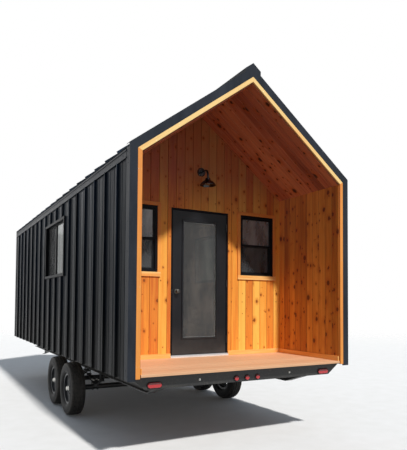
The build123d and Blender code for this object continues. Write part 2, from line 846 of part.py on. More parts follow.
axle_places = [first_axle, first_axle + axle_pitch]
spring_low_x = beam_x - spring_width / 2
spring_high_x = beam_x + spring_width / 2
half_spring = spring_length / 2
arc_radius = (half_spring ** 2 + spring_camber ** 2) / (2 * spring_camber)
arc_centre = eye_z - spring_camber + arc_radius
pack_top = eye_z - spring_camber + leaf_thickness / 2


def leaf(y, level):
    """One leaf as a bent strip; level 0 is the main leaf and each lower leaf is shorter."""
    inner = arc_radius - leaf_thickness / 2 + level * leaf_thickness
    angle = atan2(half_spring, arc_radius - spring_camber) * (1 - level * 0.8 / leaf_count)

    def point(radius, turn):
        return (spring_low_x, front + y + radius * sin(turn), arc_centre - radius * cos(turn))

    outer = inner + leaf_thickness
    under = ThreePointArc(point(outer, -angle), point(outer, 0), point(outer, angle))
    over = ThreePointArc(point(inner, angle), point(inner, 0), point(inner, -angle))
    ends = [Line(point(outer, angle), point(inner, angle)), Line(point(inner, -angle), point(outer, -angle))]
    return Solid.extrude(Face(Wire([under, ends[0], over, ends[1]])), Vector(spring_width, 0, 0))


def across(y, z, radius, margin=0):
    """Round bar across the spring at a bolt."""
    return rod((spring_low_x - margin, y, z), (spring_high_x + margin, y, z), radius)


def spring(y):
    """Pack of stepped leaves whose main leaf is rolled into an eye at each end."""
    pack = fused(*[leaf(y, level) for level in range(leaf_count)])
    for side in (-1, 1):
        pack = fused(pack, across(y + side * half_spring, eye_z, eye_radius))
    for side in (-1, 1):
        pack -= across(y + side * half_spring, eye_z, bolt_radius + bolt_clearance, 1)
    return pack


def bolt(y, z):
    """Bolt through two plates, with its head and nut."""
    shank = across(y, z, bolt_radius, link_thickness)
    reach = 1.7 * bolt_radius
    hexagon = [(y + reach * cos(n * pi / 3), z + reach * sin(n * pi / 3)) for n in range(6)]
    heads = []
    for x in (spring_low_x - 2 * link_thickness, spring_high_x + link_thickness):
        heads.append(along_x(hexagon, x, x + link_thickness))
    return fused(shank, *heads)


def on_both_sides(outline):
    """Plate on each side of the spring."""
    return [along_x(outline, spring_low_x - link_thickness, spring_low_x),
            along_x(outline, spring_high_x, spring_high_x + link_thickness)]


def hanger(y, z):
    """Pair of tapered plates from the main beam down to a bolt."""
    wide = 2.2 * eye_radius
    narrow = 1.1 * eye_radius
    foot = z - 1.2 * eye_radius
    return on_both_sides([(y - wide, main_low), (y + wide, main_low), (y + narrow, foot), (y - narrow, foot)])


def link(y0, z0, y1, z1):
    """Pair of straight shackle plates between two bolts."""
    run = hypot(y1 - y0, z1 - z0)
    ty = (y1 - y0) / run * 1.8 * bolt_radius
    tz = (z1 - z0) / run * 1.8 * bolt_radius
    outline = [(y0 - ty - tz, z0 - tz + ty), (y0 - ty + tz, z0 - tz - ty)]
    outline += [(y1 + ty + tz, z1 + tz - ty), (y1 + ty - tz, z1 + tz + ty)]
    return on_both_sides(outline)


def equaliser_set():
    """Middle hanger with the equaliser that rocks on it, and the shackles down to the spring eyes."""
    y = sum(axle_places) / 2
    pivot = eye_z + equaliser_rise
    reach = equaliser_reach
    half = 1.5 * bolt_radius
    tip = reach + half
    beam = [(y - tip, pivot - half), (y + tip, pivot - half), (y + tip, pivot + half / 2)]
    beam += [(y + half, pivot + 2 * half), (y - half, pivot + 2 * half), (y - tip, pivot + half / 2)]
    pieces = [along_x(beam, spring_low_x, spring_high_x), *hanger(y, pivot), bolt(y, pivot)]
    for side in (-1, 1):
        eye_y = y + side * (axle_pitch / 2 - half_spring)
        pieces += link(y + side * reach, pivot, eye_y, eye_z)
        pieces += [bolt(y + side * reach, pivot), bolt(eye_y, eye_z)]
    return fused(*pieces)


def end_hangers():
    pieces = []
    for y in (axle_places[0] - half_spring, axle_places[1] + half_spring):
        pieces.append(fused(*hanger(y, eye_z), bolt(y, eye_z)))
    return pieces


def spring_clamp(y):
    """Plate on the pack and two bent bolts that hold it to the axle."""
    half = axle_radius + clamp_radius
    plate_half = half + 2 * clamp_radius
    plate_z = arc_centre - sqrt((arc_radius - leaf_thickness / 2) ** 2 - plate_half ** 2)
    out = spring_width / 2 + 2 * clamp_radius
    edge = out + clamp_radius
    top = plate_z + 1.5 * steel
    plate = block(beam_x - edge, beam_x + edge, y - plate_half, y + plate_half, plate_z, top)
    pieces = [plate]
    for x in (beam_x - out, beam_x + out):
        top = plate_z + 4 * steel
        left = (x, front + y - half, wheel_radius)
        right = (x, front + y + half, wheel_radius)
        path = Line((x, left[1], top), left)
        path += ThreePointArc(left, (x, front + y, wheel_radius - half), right)
        path += Line(right, (x, right[1], top))
        section = Plane(origin=(x, left[1], top), z_dir=(0, 0, -1)) * Circle(clamp_radius - bolt_clearance)
        pieces.append(sweep(section, path=path).solid())
    return fused(*pieces)


springs = [spring(y) for y in axle_places]
save_pair("main_beam", fused(main_beam(), equaliser_set(), *end_hangers()))
save("leaf_springs_right", *springs)
save("leaf_springs_left", *[mirrored(piece) for piece in springs])
save_both("spring_clamps", *[spring_clamp(y) for y in axle_places])


# Axles, wheels and tyres

shoulder_x = wheel_x - drum_gap - drum_depth - brake_gap


def axle(y):
    """Tube with spring seats, brake plates and a spindle at each end."""
    def bar(x0, x1, radius):
        return rod((x0, y, wheel_radius), (x1, y, wheel_radius), radius)

    pieces = []
    for side in (-1, 1):
        pieces.append(bar(side * shoulder_x, side * (wheel_x + spindle_reach), spindle_radius))
        pieces.append(bar(side * (shoulder_x - brake_plate), side * shoulder_x, drum_radius + brake_plate))
        x0, x1 = sorted((side * spring_low_x, side * spring_high_x))
        pieces.append(block(x0, x1, y - axle_radius, y + axle_radius, wheel_radius, leaf_seat))
    beam = bar(-shoulder_x, shoulder_x, axle_radius)
    return fused(beam, *pieces)


def revolved(outline, y):
    """Outline of (x, radius) points turned about the wheel's axis at y."""
    points = [Vector(x, front + y, wheel_radius + r) for x, r in outline]
    axis = Axis((0, front + y, wheel_radius), (1, 0, 0))
    return Solid.revolve(Face(Wire.make_polygon(points, close=True)), 360, axis)


def tyre(y):
    """Hollow carcass with square shoulders, seated inside the rim's edges."""
    w = tyre_width / 2
    top = wheel_radius
    seat = rim_radius + bolt_clearance
    lip = rim_radius + rim_flange + 1
    bead = rim_width / 2 - bead_inset
    side = top - rim_radius
    outer = [(bead, seat), (bead + 4, lip), (w - bead_inset, lip + side * 0.1), (w, seat + side * 0.45)]
    outer += [(w - tyre_shoulder * 0.3, top - side * 0.17), (w - tyre_shoulder, top - tyre_crown_drop)]
    outer += [(w - tyre_crown, top)]
    inner = [(bead - bead_width, seat), (bead - bead_width / 2, lip + side * 0.05)]
    inner += [(w - tyre_wall, lip + side * 0.2), (w - tyre_wall, top - side * 0.2)]
    outline = [(wheel_x - x, r) for x, r in outer] + [(wheel_x + x, r) for x, r in reversed(outer)]
    outline += [(wheel_x + x, r) for x, r in inner] + [(wheel_x - x, r) for x, r in reversed(inner)]
    return revolved(outline, y)


def rim(y):
    """Drop-centre rim with a dished disc and hand holes."""
    x = wheel_x
    w = rim_width / 2
    r = rim_radius
    lip = r + rim_flange
    well = r - well_depth
    back = well - rim_steel
    step = r - rim_steel
    inner = x - well_inner
    outer = x + well_outer
    foot = x + disc_dish
    t = disc_steel
    face = foot + 2 * t
    bend = back - disc_bend
    bolts = hub_flange_radius + 2
    bore = hub_radius + 2
    outline = [(x - w, lip), (x - w + rim_lip, lip), (x - w + bead_inset, r), (inner - well_slope, r)]
    outline += [(inner, well), (outer, well), (outer + well_slope, r), (x + w - bead_inset, r)]
    outline += [(x + w - rim_lip, lip), (x + w, lip), (x + w - rim_lip / 2, step), (outer + well_slope + t, step)]
    outline += [(outer + t, back), (face, bend), (face, bolts + 2 * t), (foot, bolts), (foot, bore), (x, bore)]
    outline += [(x, bolts + t), (foot + t, bolts + 4 * t), (foot + t, bend), (foot, back), (inner - t, back)]
    outline += [(inner - well_slope - t, step), (x - w + rim_lip / 2, step)]
    wheel = revolved(outline, y)
    for n in range(hand_holes):
        angle = 2 * pi * n / hand_holes
        hole_y = y + hand_hole_circle * cos(angle)
        hole_z = wheel_radius + hand_hole_circle * sin(angle)
        wheel -= rod((x - 2, hole_y, hole_z), (x + w, hole_y, hole_z), hand_hole_radius)
    return wheel.solid()


def hub(y):
    """Brake drum and bearing hub, closed by the grease cap."""
    x = wheel_x
    bore = spindle_radius + bearing_clearance
    face = x - drum_gap
    back = face - drum_depth
    web = face - 8
    inside = drum_radius - drum_wall
    length = x + hub_length
    tip = length + cap_length
    end = x + spindle_reach + spindle_room
    outline = [(back, drum_radius), (face, drum_radius), (face, hub_flange_radius), (x, hub_flange_radius)]
    outline += [(x, hub_radius), (length, hub_radius - 4), (tip, cap_radius), (tip, 0), (end, 0), (end, bore)]
    outline += [(web, bore), (web, inside), (back, inside)]
    return revolved(outline, y)


save("axles", *[axle(y) for y in axle_places])
for label, y in zip(("porch", "tongue"), axle_places):
    for node, piece in (("tyre", tyre(y)), ("wheel", fused(rim(y), hub(y)))):
        save(node + "_" + label + "_right", piece)
        save(node + "_" + label + "_left", mirrored(piece))


# Lights on the rear beam

def tail_light():
    """Oval lamp with a rounded edge, right-hand side."""
    x = frame_end - light_inset
    z = rear_beam_low + light_rise
    place = Plane(origin=(x, front + rear_beam_setback, z), x_dir=(1, 0, 0), z_dir=(0, -1, 0))
    lamp = extrude(place * SlotOverall(light_width, light_height), light_depth)
    rim = lamp.faces().sort_by(Axis.Y)[0].edges()
    return fillet(rim, light_depth * 0.4)


def marker_lights():
    z = rear_beam_low + light_rise
    lamps = []
    for n in (-1, 0, 1):
        x = n * marker_pitch
        lamp = rod((x, rear_beam_setback, z), (x, rear_beam_setback - light_depth, z), marker_radius)
        rim = lamp.edges().filter_by(GeomType.CIRCLE).sort_by(Axis.Y)[0]
        lamps.append(fillet(rim, light_depth * 0.5))
    return lamps


save("trailer_lights", tail_light(), mirrored(tail_light()), *marker_lights())
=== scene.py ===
import random
from functools import partial
from itertools import product
from math import cos, pi, radians, sin, sqrt

import bmesh
import bpy
from mathutils import Matrix, Vector


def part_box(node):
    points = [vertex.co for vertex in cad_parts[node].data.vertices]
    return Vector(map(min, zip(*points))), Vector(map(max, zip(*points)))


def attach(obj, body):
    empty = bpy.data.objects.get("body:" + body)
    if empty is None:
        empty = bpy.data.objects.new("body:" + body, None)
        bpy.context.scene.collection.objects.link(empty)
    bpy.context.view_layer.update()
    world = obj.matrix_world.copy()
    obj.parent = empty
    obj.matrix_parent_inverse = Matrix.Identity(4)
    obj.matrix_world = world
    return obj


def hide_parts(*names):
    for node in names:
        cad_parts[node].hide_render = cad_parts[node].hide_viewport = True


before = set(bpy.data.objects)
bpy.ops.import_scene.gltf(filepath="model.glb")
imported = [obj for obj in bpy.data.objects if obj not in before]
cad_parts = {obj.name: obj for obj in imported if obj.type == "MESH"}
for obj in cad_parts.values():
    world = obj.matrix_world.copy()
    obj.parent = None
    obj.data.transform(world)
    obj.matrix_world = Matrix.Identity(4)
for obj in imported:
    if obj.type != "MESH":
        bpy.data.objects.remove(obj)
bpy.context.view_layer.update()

# Trailer frame: beams, cross members, tongue, axles and springs.
# Hot-rolled steel channels and I-beams, welded, shot-blasted and brushed or sprayed with black chassis
# enamel. The enamel is a thick semi-gloss coat with a slight orange peel, and road dust dulls it.
front = -4.3175  # y of the porch trim face
rear = front + 7.315  # y of the trim at the back
deck_top = 0.935
main_low = 0.629  # lower face of the main beams
beam_x = 1.0


def srgb(hexa):
    """Linear colour of an sRGB hex value."""
    parts = [int(hexa[i:i + 2], 16) / 255 for i in (1, 3, 5)]
    return tuple(c / 12.92 if c <= 0.04045 else ((c + 0.055) / 1.055) ** 2.4 for c in parts) + (1.0,)


def add(tree, kind, *inputs, stops=(), **named):
    """A node. Inputs come in order or by name, as values or links; a name in small letters is a setting."""
    node = tree.nodes.new("ShaderNode" + kind)
    values = dict(enumerate(inputs))
    for name, value in named.items():
        if name[0].isupper():
            values[name.replace("_", " ")] = value
        else:
            setattr(node, name, value)
    for key, value in values.items():
        if isinstance(value, bpy.types.Node):
            value = value.outputs[0]
        if isinstance(value, bpy.types.NodeSocket):
            tree.links.new(value, node.inputs[key])
        else:
            node.inputs[key].default_value = srgb(value) if isinstance(value, str) else value
    if stops:
        elements = node.color_ramp.elements
        while len(elements) < len(stops):
            elements.new(0.5)
        for element, (position, colour) in zip(elements, stops):
            element.position = position
            element.color = srgb(colour) if isinstance(colour, str) else (colour, colour, colour, 1)
    return node


def material(name):
    """New empty material, and the function above for its own nodes."""
    made = bpy.data.materials.new(name)
    made.use_nodes = True
    made.node_tree.nodes.clear()
    return made, partial(add, made.node_tree)


def coated(node, colour, gloss, relief=None, **plain):
    """Ends a material in one surface.

    gloss is the roughness, or else what drives it and its two ends, with that driver's own two ends where they
    aren't 0 and 1. relief is the bump's height, strength and depth, and a bump that lies under it.
    """
    if isinstance(gloss, tuple):
        driver, low, high, *ends = gloss
        gloss = node("MapRange", driver, *(ends or (0.0, 1.0)), low, high)
    if relief:
        plain["Normal"] = node("Bump", **dict(zip(("Height", "Strength", "Distance", "Normal"), relief)))
    node("OutputMaterial", node("BsdfPrincipled", Base_Color=colour, Roughness=gloss, **plain))


def cloudy(name, scale, detail, stops, gloss, fine=None, **plain):
    """Finish whose tone and gloss drift together in soft clouds.

    gloss is the roughness or its two ends; fine gives the scale, detail, strength and depth of a bump.
    """
    made, node = material(name)
    place = node("TexCoord").outputs["Object"]
    cloud = node("TexNoise", place, Scale=scale, Detail=detail)
    tone = node("ValToRGB", cloud, stops=stops)
    relief = fine and (node("TexNoise", place, Scale=fine[0], Detail=fine[1]), *fine[2:])
    coated(node, tone, (cloud, *gloss) if isinstance(gloss, tuple) else gloss, relief, **plain)
    return made


def dressed(made, *names):
    """Gives a finish to nodes of the frame."""
    for name in names:
        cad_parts[name].material_slots[0].material = made


chassis_enamel, node = material("brushed_chassis_enamel")
place = node("TexCoord").outputs["Object"]
patches = node("TexNoise", place, Scale=3.0, Detail=6.0, Roughness=0.6)
specks = node("TexNoise", place, Scale=55.0, Detail=4.0)
tone = node("ValToRGB", patches, stops=[(0.3, "#17191b"), (0.72, "#2c2b28")])
dust = node("ValToRGB", specks, stops=[(0.55, 0.0), (0.8, 0.22)])
coat = node("MixRGB", dust, tone, "#8d857a")
peel = node("TexNoise", place, Scale=240.0, Detail=2.0)
coated(node, coat, (patches, 0.34, 0.58), (peel, 0.16, 0.002))
dressed(chassis_enamel, "main_beam_left", "main_beam_right", "rear_beam", "cross_members", "tongue_beam_left",
        "tongue_beam_right", "axles", "leaf_springs_left", "leaf_springs_right", "spring_clamps")

# Coupler and jack: cast and pressed steel under a baked powder coat, matt and very slightly grainy.
powder_coat = cloudy("powder_coated_steel", 9.0, 5.0, [(0.35, "#1b1c1e"), (0.7, "#2a2a2a")], (0.42, 0.6),
                     (420.0, 3.0, 0.25, 0.001))
dressed(powder_coat, "coupler", "tongue_jack")


def loft(loops, ring=False):
    """Points and faces through loops of equally many points."""
    n = len(loops[0])
    faces = []
    for i in range(len(loops) if ring else len(loops) - 1):
        low = i * n
        high = (i + 1) % len(loops) * n
        faces += [(low + k, low + (k + 1) % n, high + (k + 1) % n, high + k) for k in range(n)]
    if not ring:
        faces += [tuple(reversed(range(n))), tuple(range(len(loops) * n - n, len(loops) * n))]
    return [Vector(p) for loop in loops for p in loop], faces


def turned(origin, axis, profile, steps, ring=False):
    """Profile of (distance along the axis, radius) points turned about it."""
    axis = Vector(axis).normalized()
    side = axis.orthogonal().normalized()
    other = axis.cross(side)
    turns = [2 * pi * k / steps for k in range(steps)]
    return loft([[Vector(origin) + axis * d + (side * cos(t) + other * sin(t)) * r for t in turns]
                 for d, r in profile], ring=ring)


def tube(points, radii, steps):
    """Round bar or bead along a line of points, with a radius at each."""
    points = [Vector(p) for p in points]
    side = None
    turns = [2 * pi * k / steps for k in range(steps)]
    loops = []
    for i, (p, r) in enumerate(zip(points, radii)):
        way = (points[min(i + 1, len(points) - 1)] - points[max(i - 1, 0)]).normalized()
        side = way.orthogonal() if side is None else side - way * side.dot(way)
        side.normalize()
        other = way.cross(side)
        loops.append([p + (side * cos(t) + other * sin(t)) * r for t in turns])
    return loft(loops)


def placed(name, data):
    """New object in the scene."""
    made = bpy.data.objects.new(name, data)
    bpy.context.collection.objects.link(made)
    return made


def piece(name, parts, slot, finish, smooth=0.0, body="house", replaced=(), **attributes):
    """One object from several shapes; attributes hold one value for each point."""
    points = []
    faces = []
    for part_points, part_faces in parts:
        faces += [tuple(len(points) + i for i in face) for face in part_faces]
        points += part_points
    mesh = bpy.data.meshes.new(name)
    mesh.from_pydata(points, [], faces)
    for key, values in attributes.items():
        wide = isinstance(values[0], tuple)
        layer = mesh.attributes.new(key, "FLOAT_VECTOR" if wide else "FLOAT", "POINT")
        layer.data.foreach_set("vector" if wide else "value", [c for v in values for c in v] if wide else values)
    work = bmesh.new()
    work.from_mesh(mesh)
    bmesh.ops.recalc_face_normals(work, faces=work.faces)
    work.to_mesh(mesh)
    work.free()
    if smooth:
        mesh.shade_smooth()
        mesh.set_sharp_from_angle(angle=radians(smooth))
    mesh.materials.append(finish)
    made = placed(name, mesh)
    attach(made, body)
    if replaced:
        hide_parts(*replaced)


def hex_head(centre, axis, width, height):
    """Hexagon bolt head on its washer."""
    centre = Vector(centre)
    axis = Vector(axis).normalized()
    seat = height * 0.24
    washer = turned(centre, axis, [(0, width * 0.92), (height * 0.18, width * 0.92), (seat, width * 0.88)], 20)
    head = [(0, width * 0.6), (height * 0.62, width * 0.6), (height * 0.76, width * 0.5)]
    return [washer, turned(centre + axis * seat, axis, head, 6)]


# Zinc-plated fasteners of the trailer: bright, thinly plated steel with a slight yellow-blue cast.
zinc = cloudy("zinc_plated_steel", 90.0, 4.0, [(0.35, "#a9a79f"), (0.7, "#d2d3d0")], (0.22, 0.45), Metallic=1.0)

rear_face = front + 0.110  # outer face of the beam that carries the lamps
jack_y = front + 8.075
axle_y = [front + 2.714, front + 3.603]
clamp_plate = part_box("spring_clamps")[1][2] - 0.015  # the bent bolts stand 15 mm above it
# two in the rear beam, four through the jack's plate and eight for each axle
bolts = []
for x in (-0.625, 0.625):
    bolts += hex_head((x, rear_face, 0.826), (0, -1, 0), 0.014, 0.012)
for x, dy in product((-0.2, 0.2), (-0.045, 0.045)):
    bolts += hex_head((x, jack_y + dy, main_low + 0.009), (0, 0, 1), 0.009, 0.008)
for y, side, dx, dy in product(axle_y, (-1, 1), (-0.0365, 0.0365), (-0.045, 0.045)):
    bolts += hex_head((side * beam_x + dx, y + dy, clamp_plate), (0, 0, 1), 0.0145, 0.0145)
piece("trailer_bolts", bolts, "zinc_steel", zinc, smooth=35)

# Weld beads: rows of small overlapping puddles where beams meet, painted over with the chassis enamel.
cross_y = [front + 0.210 + 7.036 * n / 11 for n in range(12)]
joins = [[(side * beam_x + dx, y + 0.003 * k, 0.832) for k in range(15)]
         for y, side, dx in product(cross_y, (-1, 1), (-0.05, 0.05))]
joins += [[(side * 1.0065, front + 0.1725, 0.775 + 0.004 * k) for k in range(26)] for side in (-1, 1)]
puddles = random.Random(4)
beads = [tube(join, [0.0042 + 0.0009 * puddles.random() for _ in join], 6) for join in joins]
piece("weld_beads", beads, "trailer_steel", chassis_enamel, smooth=50)


# Tail lamps and marker lamps on the rear beam.
# Red acrylic lenses, injection moulded with rows of small prisms inside, sealed into black rubber
# grommets that are pushed into the beam.
lens, node = material("moulded_red_acrylic")
place = node("TexCoord").outputs["Object"]
facets = node("TexVoronoi", place, Scale=130.0, Randomness=0.0, distance="CHEBYCHEV")
glow = node("ValToRGB", facets, stops=[(0.0, "#e2202a"), (0.45, "#b3121b"), (0.8, "#6f0a10")])
coated(node, glow, 0.08, (facets, 0.35, 0.003), IOR=1.49, Coat_Weight=0.6, Coat_Roughness=0.03)
dressed(lens, "trailer_lights")

rubber = cloudy("moulded_black_rubber", 40.0, 5.0, [(0.3, "#151515"), (0.75, "#272625")], (0.6, 0.8),
                (40.0, 5.0, 0.2, 0.001), Specular_IOR_Level=0.35)

lamp_z = 0.805
grommets = []
for x in (-1.165, 1.165):
    turns = [2 * pi * k / 48 for k in range(48)]
    loops = [[(x + (0.051 if cos(t) > 0 else -0.051) + r * cos(t), rear_face - depth, lamp_z + r * sin(t))
              for t in turns]
             for depth, r in ((0.0, 0.039), (0.004, 0.039), (0.0065, 0.036), (0.0065, 0.0305), (0.0, 0.0305))]
    grommets.append(loft(loops, ring=True))
lip = [(0, 0.038), (0.004, 0.038), (0.006, 0.035), (0.006, 0.0285), (0, 0.0285)]
for x in (-0.147, 0.0, 0.147):
    grommets.append(turned((x, rear_face, lamp_z), (0, -1, 0), lip, 32, ring=True))
piece("lamp_grommets", grommets, "light_lens", rubber, smooth=40)


# Tyres: trailer tyres of black vulcanised rubber, moulded with five ribs round the tread.
# Fine slots cross the shoulder ribs, and raised rings and a rim guard run round the side walls. New rubber
# is matt and near black, and the tread picks up grey dust from the road.
tread, node = material("vulcanised_tyre_rubber")
place = node("TexCoord").outputs["Object"]
worn = node("Attribute", attribute_name="tread").outputs["Fac"]
cloud = node("TexNoise", place, Scale=18.0, Detail=6.0, Roughness=0.65)
amount = node("Math", worn, cloud, operation="MULTIPLY")
tone = node("ValToRGB", amount, stops=[(0.0, "#1c1c1d"), (0.25, "#2c2b2a"), (0.7, "#57534d")])
fine = node("TexNoise", place, Scale=300.0, Detail=3.0)
coated(node, tone, (cloud, 0.55, 0.82), (fine, 0.2, 0.001), Specular_IOR_Level=0.3)

wheel_x = 1.3435
wheel_z = 0.386
wheels = [(label + "_" + name, side, y) for label, y in zip(("porch", "tongue"), axle_y)
          for name, side in (("left", -1), ("right", 1))]
# half of the section, from the bead up the side wall to the shoulder and over the ribs, and of its inner face:
# distance across and radius, in tenths of a millimetre
outer = [(636, 2036), (672, 2150), (690, 2228), (785, 2245), (880, 2300), (970, 2390), (1029, 2546), (1043, 2561),
         (1045, 2585), (1052, 2634), (1069, 2741), (1075, 2867), (1070, 2994), (1059, 3081), (1067, 3096),
         (1063, 3120), (1050, 3135), (1032, 3247), (1006, 3402), (993, 3519), (961, 3616), (901, 3699), (823, 3748),
         (714, 3787), (695, 3704), (622, 3704), (604, 3811), (274, 3840), (256, 3743), (183, 3743), (165, 3850)]
inner = [(-500, 2036), (-560, 2290), (-850, 2490), (-850, 3410)]
outline = outer + [(-x, r) for x, r in reversed(outer)]
tyre_line = [(x / 1e4, r / 1e4) for x, r in outline + inner + [(-x, r) for x, r in reversed(inner)]]
shoulder = {i for i, (x, r) in enumerate(outline) if r > 3565 and abs(x) > 705}
middle = {i for i, (x, r) in enumerate(outline) if r > 3805 and abs(x) < 640}
pitches = 60
for wheel, side, y in wheels:
    loops = []
    dusty = []
    for n, (share, slot) in product(range(pitches), ((0, 0), (0.40, 0), (0.43, 1), (0.50, 1), (0.53, 0), (0.90, 0))):
        turn = 2 * pi * (n + share) / pitches
        loop = []
        for i, (x, r) in enumerate(tyre_line):
            if slot and i in shoulder:
                r -= 0.0055
            if slot and i in middle and n % 2:
                r -= 0.003
            loop.append((side * wheel_x + x, y + r * cos(turn), wheel_z + r * sin(turn)))
            dusty.append(1.0 if r > 0.350 and i < len(outline) else 0.25)
        loops.append(loop)
    piece("tyre_" + wheel + "_rubber", [loft(loops, ring=True)], "tyre", tread, smooth=30,
          body="wheel_" + wheel + "_body", replaced=["tyre_" + wheel], tread=dusty)

# Wheels: pressed and rolled steel, welded and sprayed with satin black enamel, on cast hubs.
# Eight plated nuts hold each disc, and a bright pressed cap closes the hub.
wheel_enamel = cloudy("sprayed_wheel_enamel", 25.0, 5.0, [(0.35, "#1d2024"), (0.75, "#303338")], (0.3, 0.5),
                      (500.0, 2.0, 0.08, 0.001), Coat_Weight=0.25, Coat_Roughness=0.2)
nut = [(0, 0.0145), (0.004, 0.0145), (0.006, 0.0115), (0.024, 0.0115), (0.029, 0.0075)]
cap = [(0.058, 0.0375), (0.061, 0.0385), (0.064, 0.0350), (0.0665, 0.0330), (0.081, 0.0315), (0.0885, 0.0270),
       (0.0915, 0.0180), (0.0925, 0.0060)]
nut_circle = 0.064
stem_turn = radians(68)
stem_reach = [0.178 - 0.003 * k for k in range(8)]  # radius along the valve stem
for wheel, side, y in wheels:
    dressed(wheel_enamel, "wheel_" + wheel)
    bright = []
    for n in range(8):
        turn = 2 * pi * (n + 0.5) / 8
        centre = (side * (wheel_x + 0.006), y + nut_circle * cos(turn), wheel_z + nut_circle * sin(turn))
        bright.append(turned(centre, (side, 0, 0), nut, 6))
    bright.append(turned((side * wheel_x, y, wheel_z), (side, 0, 0), cap, 32))
    piece("wheel_nuts_" + wheel, bright, "zinc_steel", zinc, smooth=35, body="wheel_" + wheel + "_body")
    stem = [(side * (wheel_x + 0.060 + 0.004 * k), y + r * cos(stem_turn), wheel_z + r * sin(stem_turn))
            for k, r in enumerate(stem_reach)]
    piece("valve_stem_" + wheel, [tube(stem, [0.0058] * 3 + [0.0042] * 5, 10)], "tyre", rubber, smooth=50,
          body="wheel_" + wheel + "_body")


# Floor, walls and roof under the skin.
# Softwood studs and rafters behind sheathing plywood: rotary-cut veneer with broad pale flames, made in
# sheets 1.22 m wide, and left bare inside. It is seen only through the glass and at cut edges.
dry_plywood, node = material("rotary_cut_plywood")
place = node("TexCoord").outputs["Object"]
drawn_out = node("Mapping", place, Scale=(9.0, 1.1, 5.0))
flames = node("TexNoise", drawn_out, Scale=1.4, Detail=6.0, Distortion=1.6)
pores = node("TexNoise", drawn_out, Scale=38.0, Detail=3.0)
both = node("Math", node("Math", flames, pores), 0.5, operation="MULTIPLY")
tone = node("ValToRGB", both, stops=[(0.34, "#a97f50"), (0.5, "#caa474"), (0.66, "#dfc296")])
coated(node, tone, (pores, 0.62, 0.8), (pores, 0.15, 0.001), Specular_IOR_Level=0.35)
dressed(dry_plywood, "side_wall_left", "side_wall_right", "front_wall_left", "front_wall_right", "front_wall_gable",
        "back_wall", "roof_left", "roof_right", "house_floor")


# Standing seam skin, roof and folded trim.
# Galvanised steel coil with a baked black coating, roll-formed into 406 mm pans with standing seams.
# The sheet is thin, so the pans bulge a little between their clips; their reflection in the satin coat is painted
# in as long dark and pale streaks. Dust and rain marks gather low on the walls, which are painted darker towards
# their foot as a painted reflection of dark ground.
seam_pitch = 0.4064
first_seam = 0.346

coil_coat, node = material("roll_formed_black_steel")
place = node("TexCoord").outputs["Object"]
axes = node("SeparateXYZ", place)
# distance across the pans: along the house on its sides and roof, and across it on the rear gable
at_rear = node("Math", axes.outputs["Y"], rear - 0.031, operation="GREATER_THAN")
across = node("Math", axes.outputs["X"], at_rear, axes.outputs["Y"], operation="MULTIPLY_ADD")
along = node("Math", across, -(front + first_seam))
pan = node("Math", node("Math", along, seam_pitch, operation="DIVIDE"), operation="FLOOR")
shade = node("TexWhiteNoise", W=pan, noise_dimensions="1D")
# rolling and oil-canning: streaks 15 to 60 mm wide that run the whole height of a pan; their dark, pale and
# bluish tones in the colour are painted reflection, while their bump is the bulges' own relief
drawn = node("Mapping", node("CombineXYZ", across, axes.outputs["Z"], pan), Scale=(24.0, 0.5, 3.7))
streak = node("TexNoise", drawn, Scale=1.0, Detail=3.0, Roughness=0.65)
mixed = node("Math", shade, 0.16, streak, operation="MULTIPLY_ADD")
tone = node("ValToRGB", mixed, stops=[(0.38, "#0d1217"), (0.57, "#19212a"), (0.80, "#2b3542")])
# painted reflection: the coat is turned darker towards the foot of the walls, as the lower walls mirror dark ground
low = node("MapRange", axes.outputs["Z"], 2.9, 1.3, To_Max=0.80)
tone = node("MixRGB", low, tone, "#0e1114")
low = node("MapRange", axes.outputs["Z"], 1.55, 0.85)
marks = node("TexNoise", node("Mapping", place, Scale=(38.0, 38.0, 1.2)), Scale=1.0, Detail=5.0)
settled = node("Math", node("Math", low, marks, operation="MULTIPLY"), 0.30, operation="MULTIPLY")
coat = node("MixRGB", settled, tone, "#6b665e")
bulge = node("TexNoise", node("Mapping", place, Scale=(3.4, 3.4, 0.9)), Scale=1.0, Detail=1.5)
ripple = node("Bump", Height=streak, Strength=0.6, Distance=0.006)
coated(node, coat, (streak, 0.42, 0.2, 0.3, 0.7), (bulge, 0.5, 0.02, ripple), Specular_IOR_Level=0.03)
dressed(coil_coat, "siding_left", "siding_right", "siding_back", "roof_panels")

# Folded trim: flat sheet of the same coil, bent in a brake. Its coat reads greyer, with faint handling marks.
folded_coat, node = material("brake_folded_black_steel")
place = node("TexCoord").outputs["Object"]
bulge = node("TexNoise", node("Mapping", place, Scale=(5.0, 5.0, 1.3)), Scale=1.0, Detail=6.0, Roughness=0.6)
rubs = node("TexNoise", place, Scale=55.0, Detail=4.0)
tone = node("ValToRGB", bulge, stops=[(0.32, "#1f2329"), (0.68, "#30343b")])
rubbed = node("MapRange", rubs, 0.6, 0.8, To_Max=0.25)
coat = node("MixRGB", rubbed, tone, "#4d5158")
coated(node, coat, (bulge, 0.32, 0.5), (bulge, 0.4, 0.01), Specular_IOR_Level=0.10)
dressed(folded_coat, "ridge_cap", "front_metal_trim", "back_metal_trim", "eave_trim")

# Painted pancake screws hold the folded trim: small domed heads every 300 mm, and one to a pan on the roof.
lining_x = 1.358  # inner face of the porch lining
inner_x = 1.376  # face of the wall behind it
eave_z = 3.205  # where the ceiling's face meets the lining


def roof_z(x, lift=0.0):
    """Height of the roof layer that lies lift above the ceiling's face."""
    return eave_z + 0.75 * (lining_x - abs(x)) + lift / 0.8


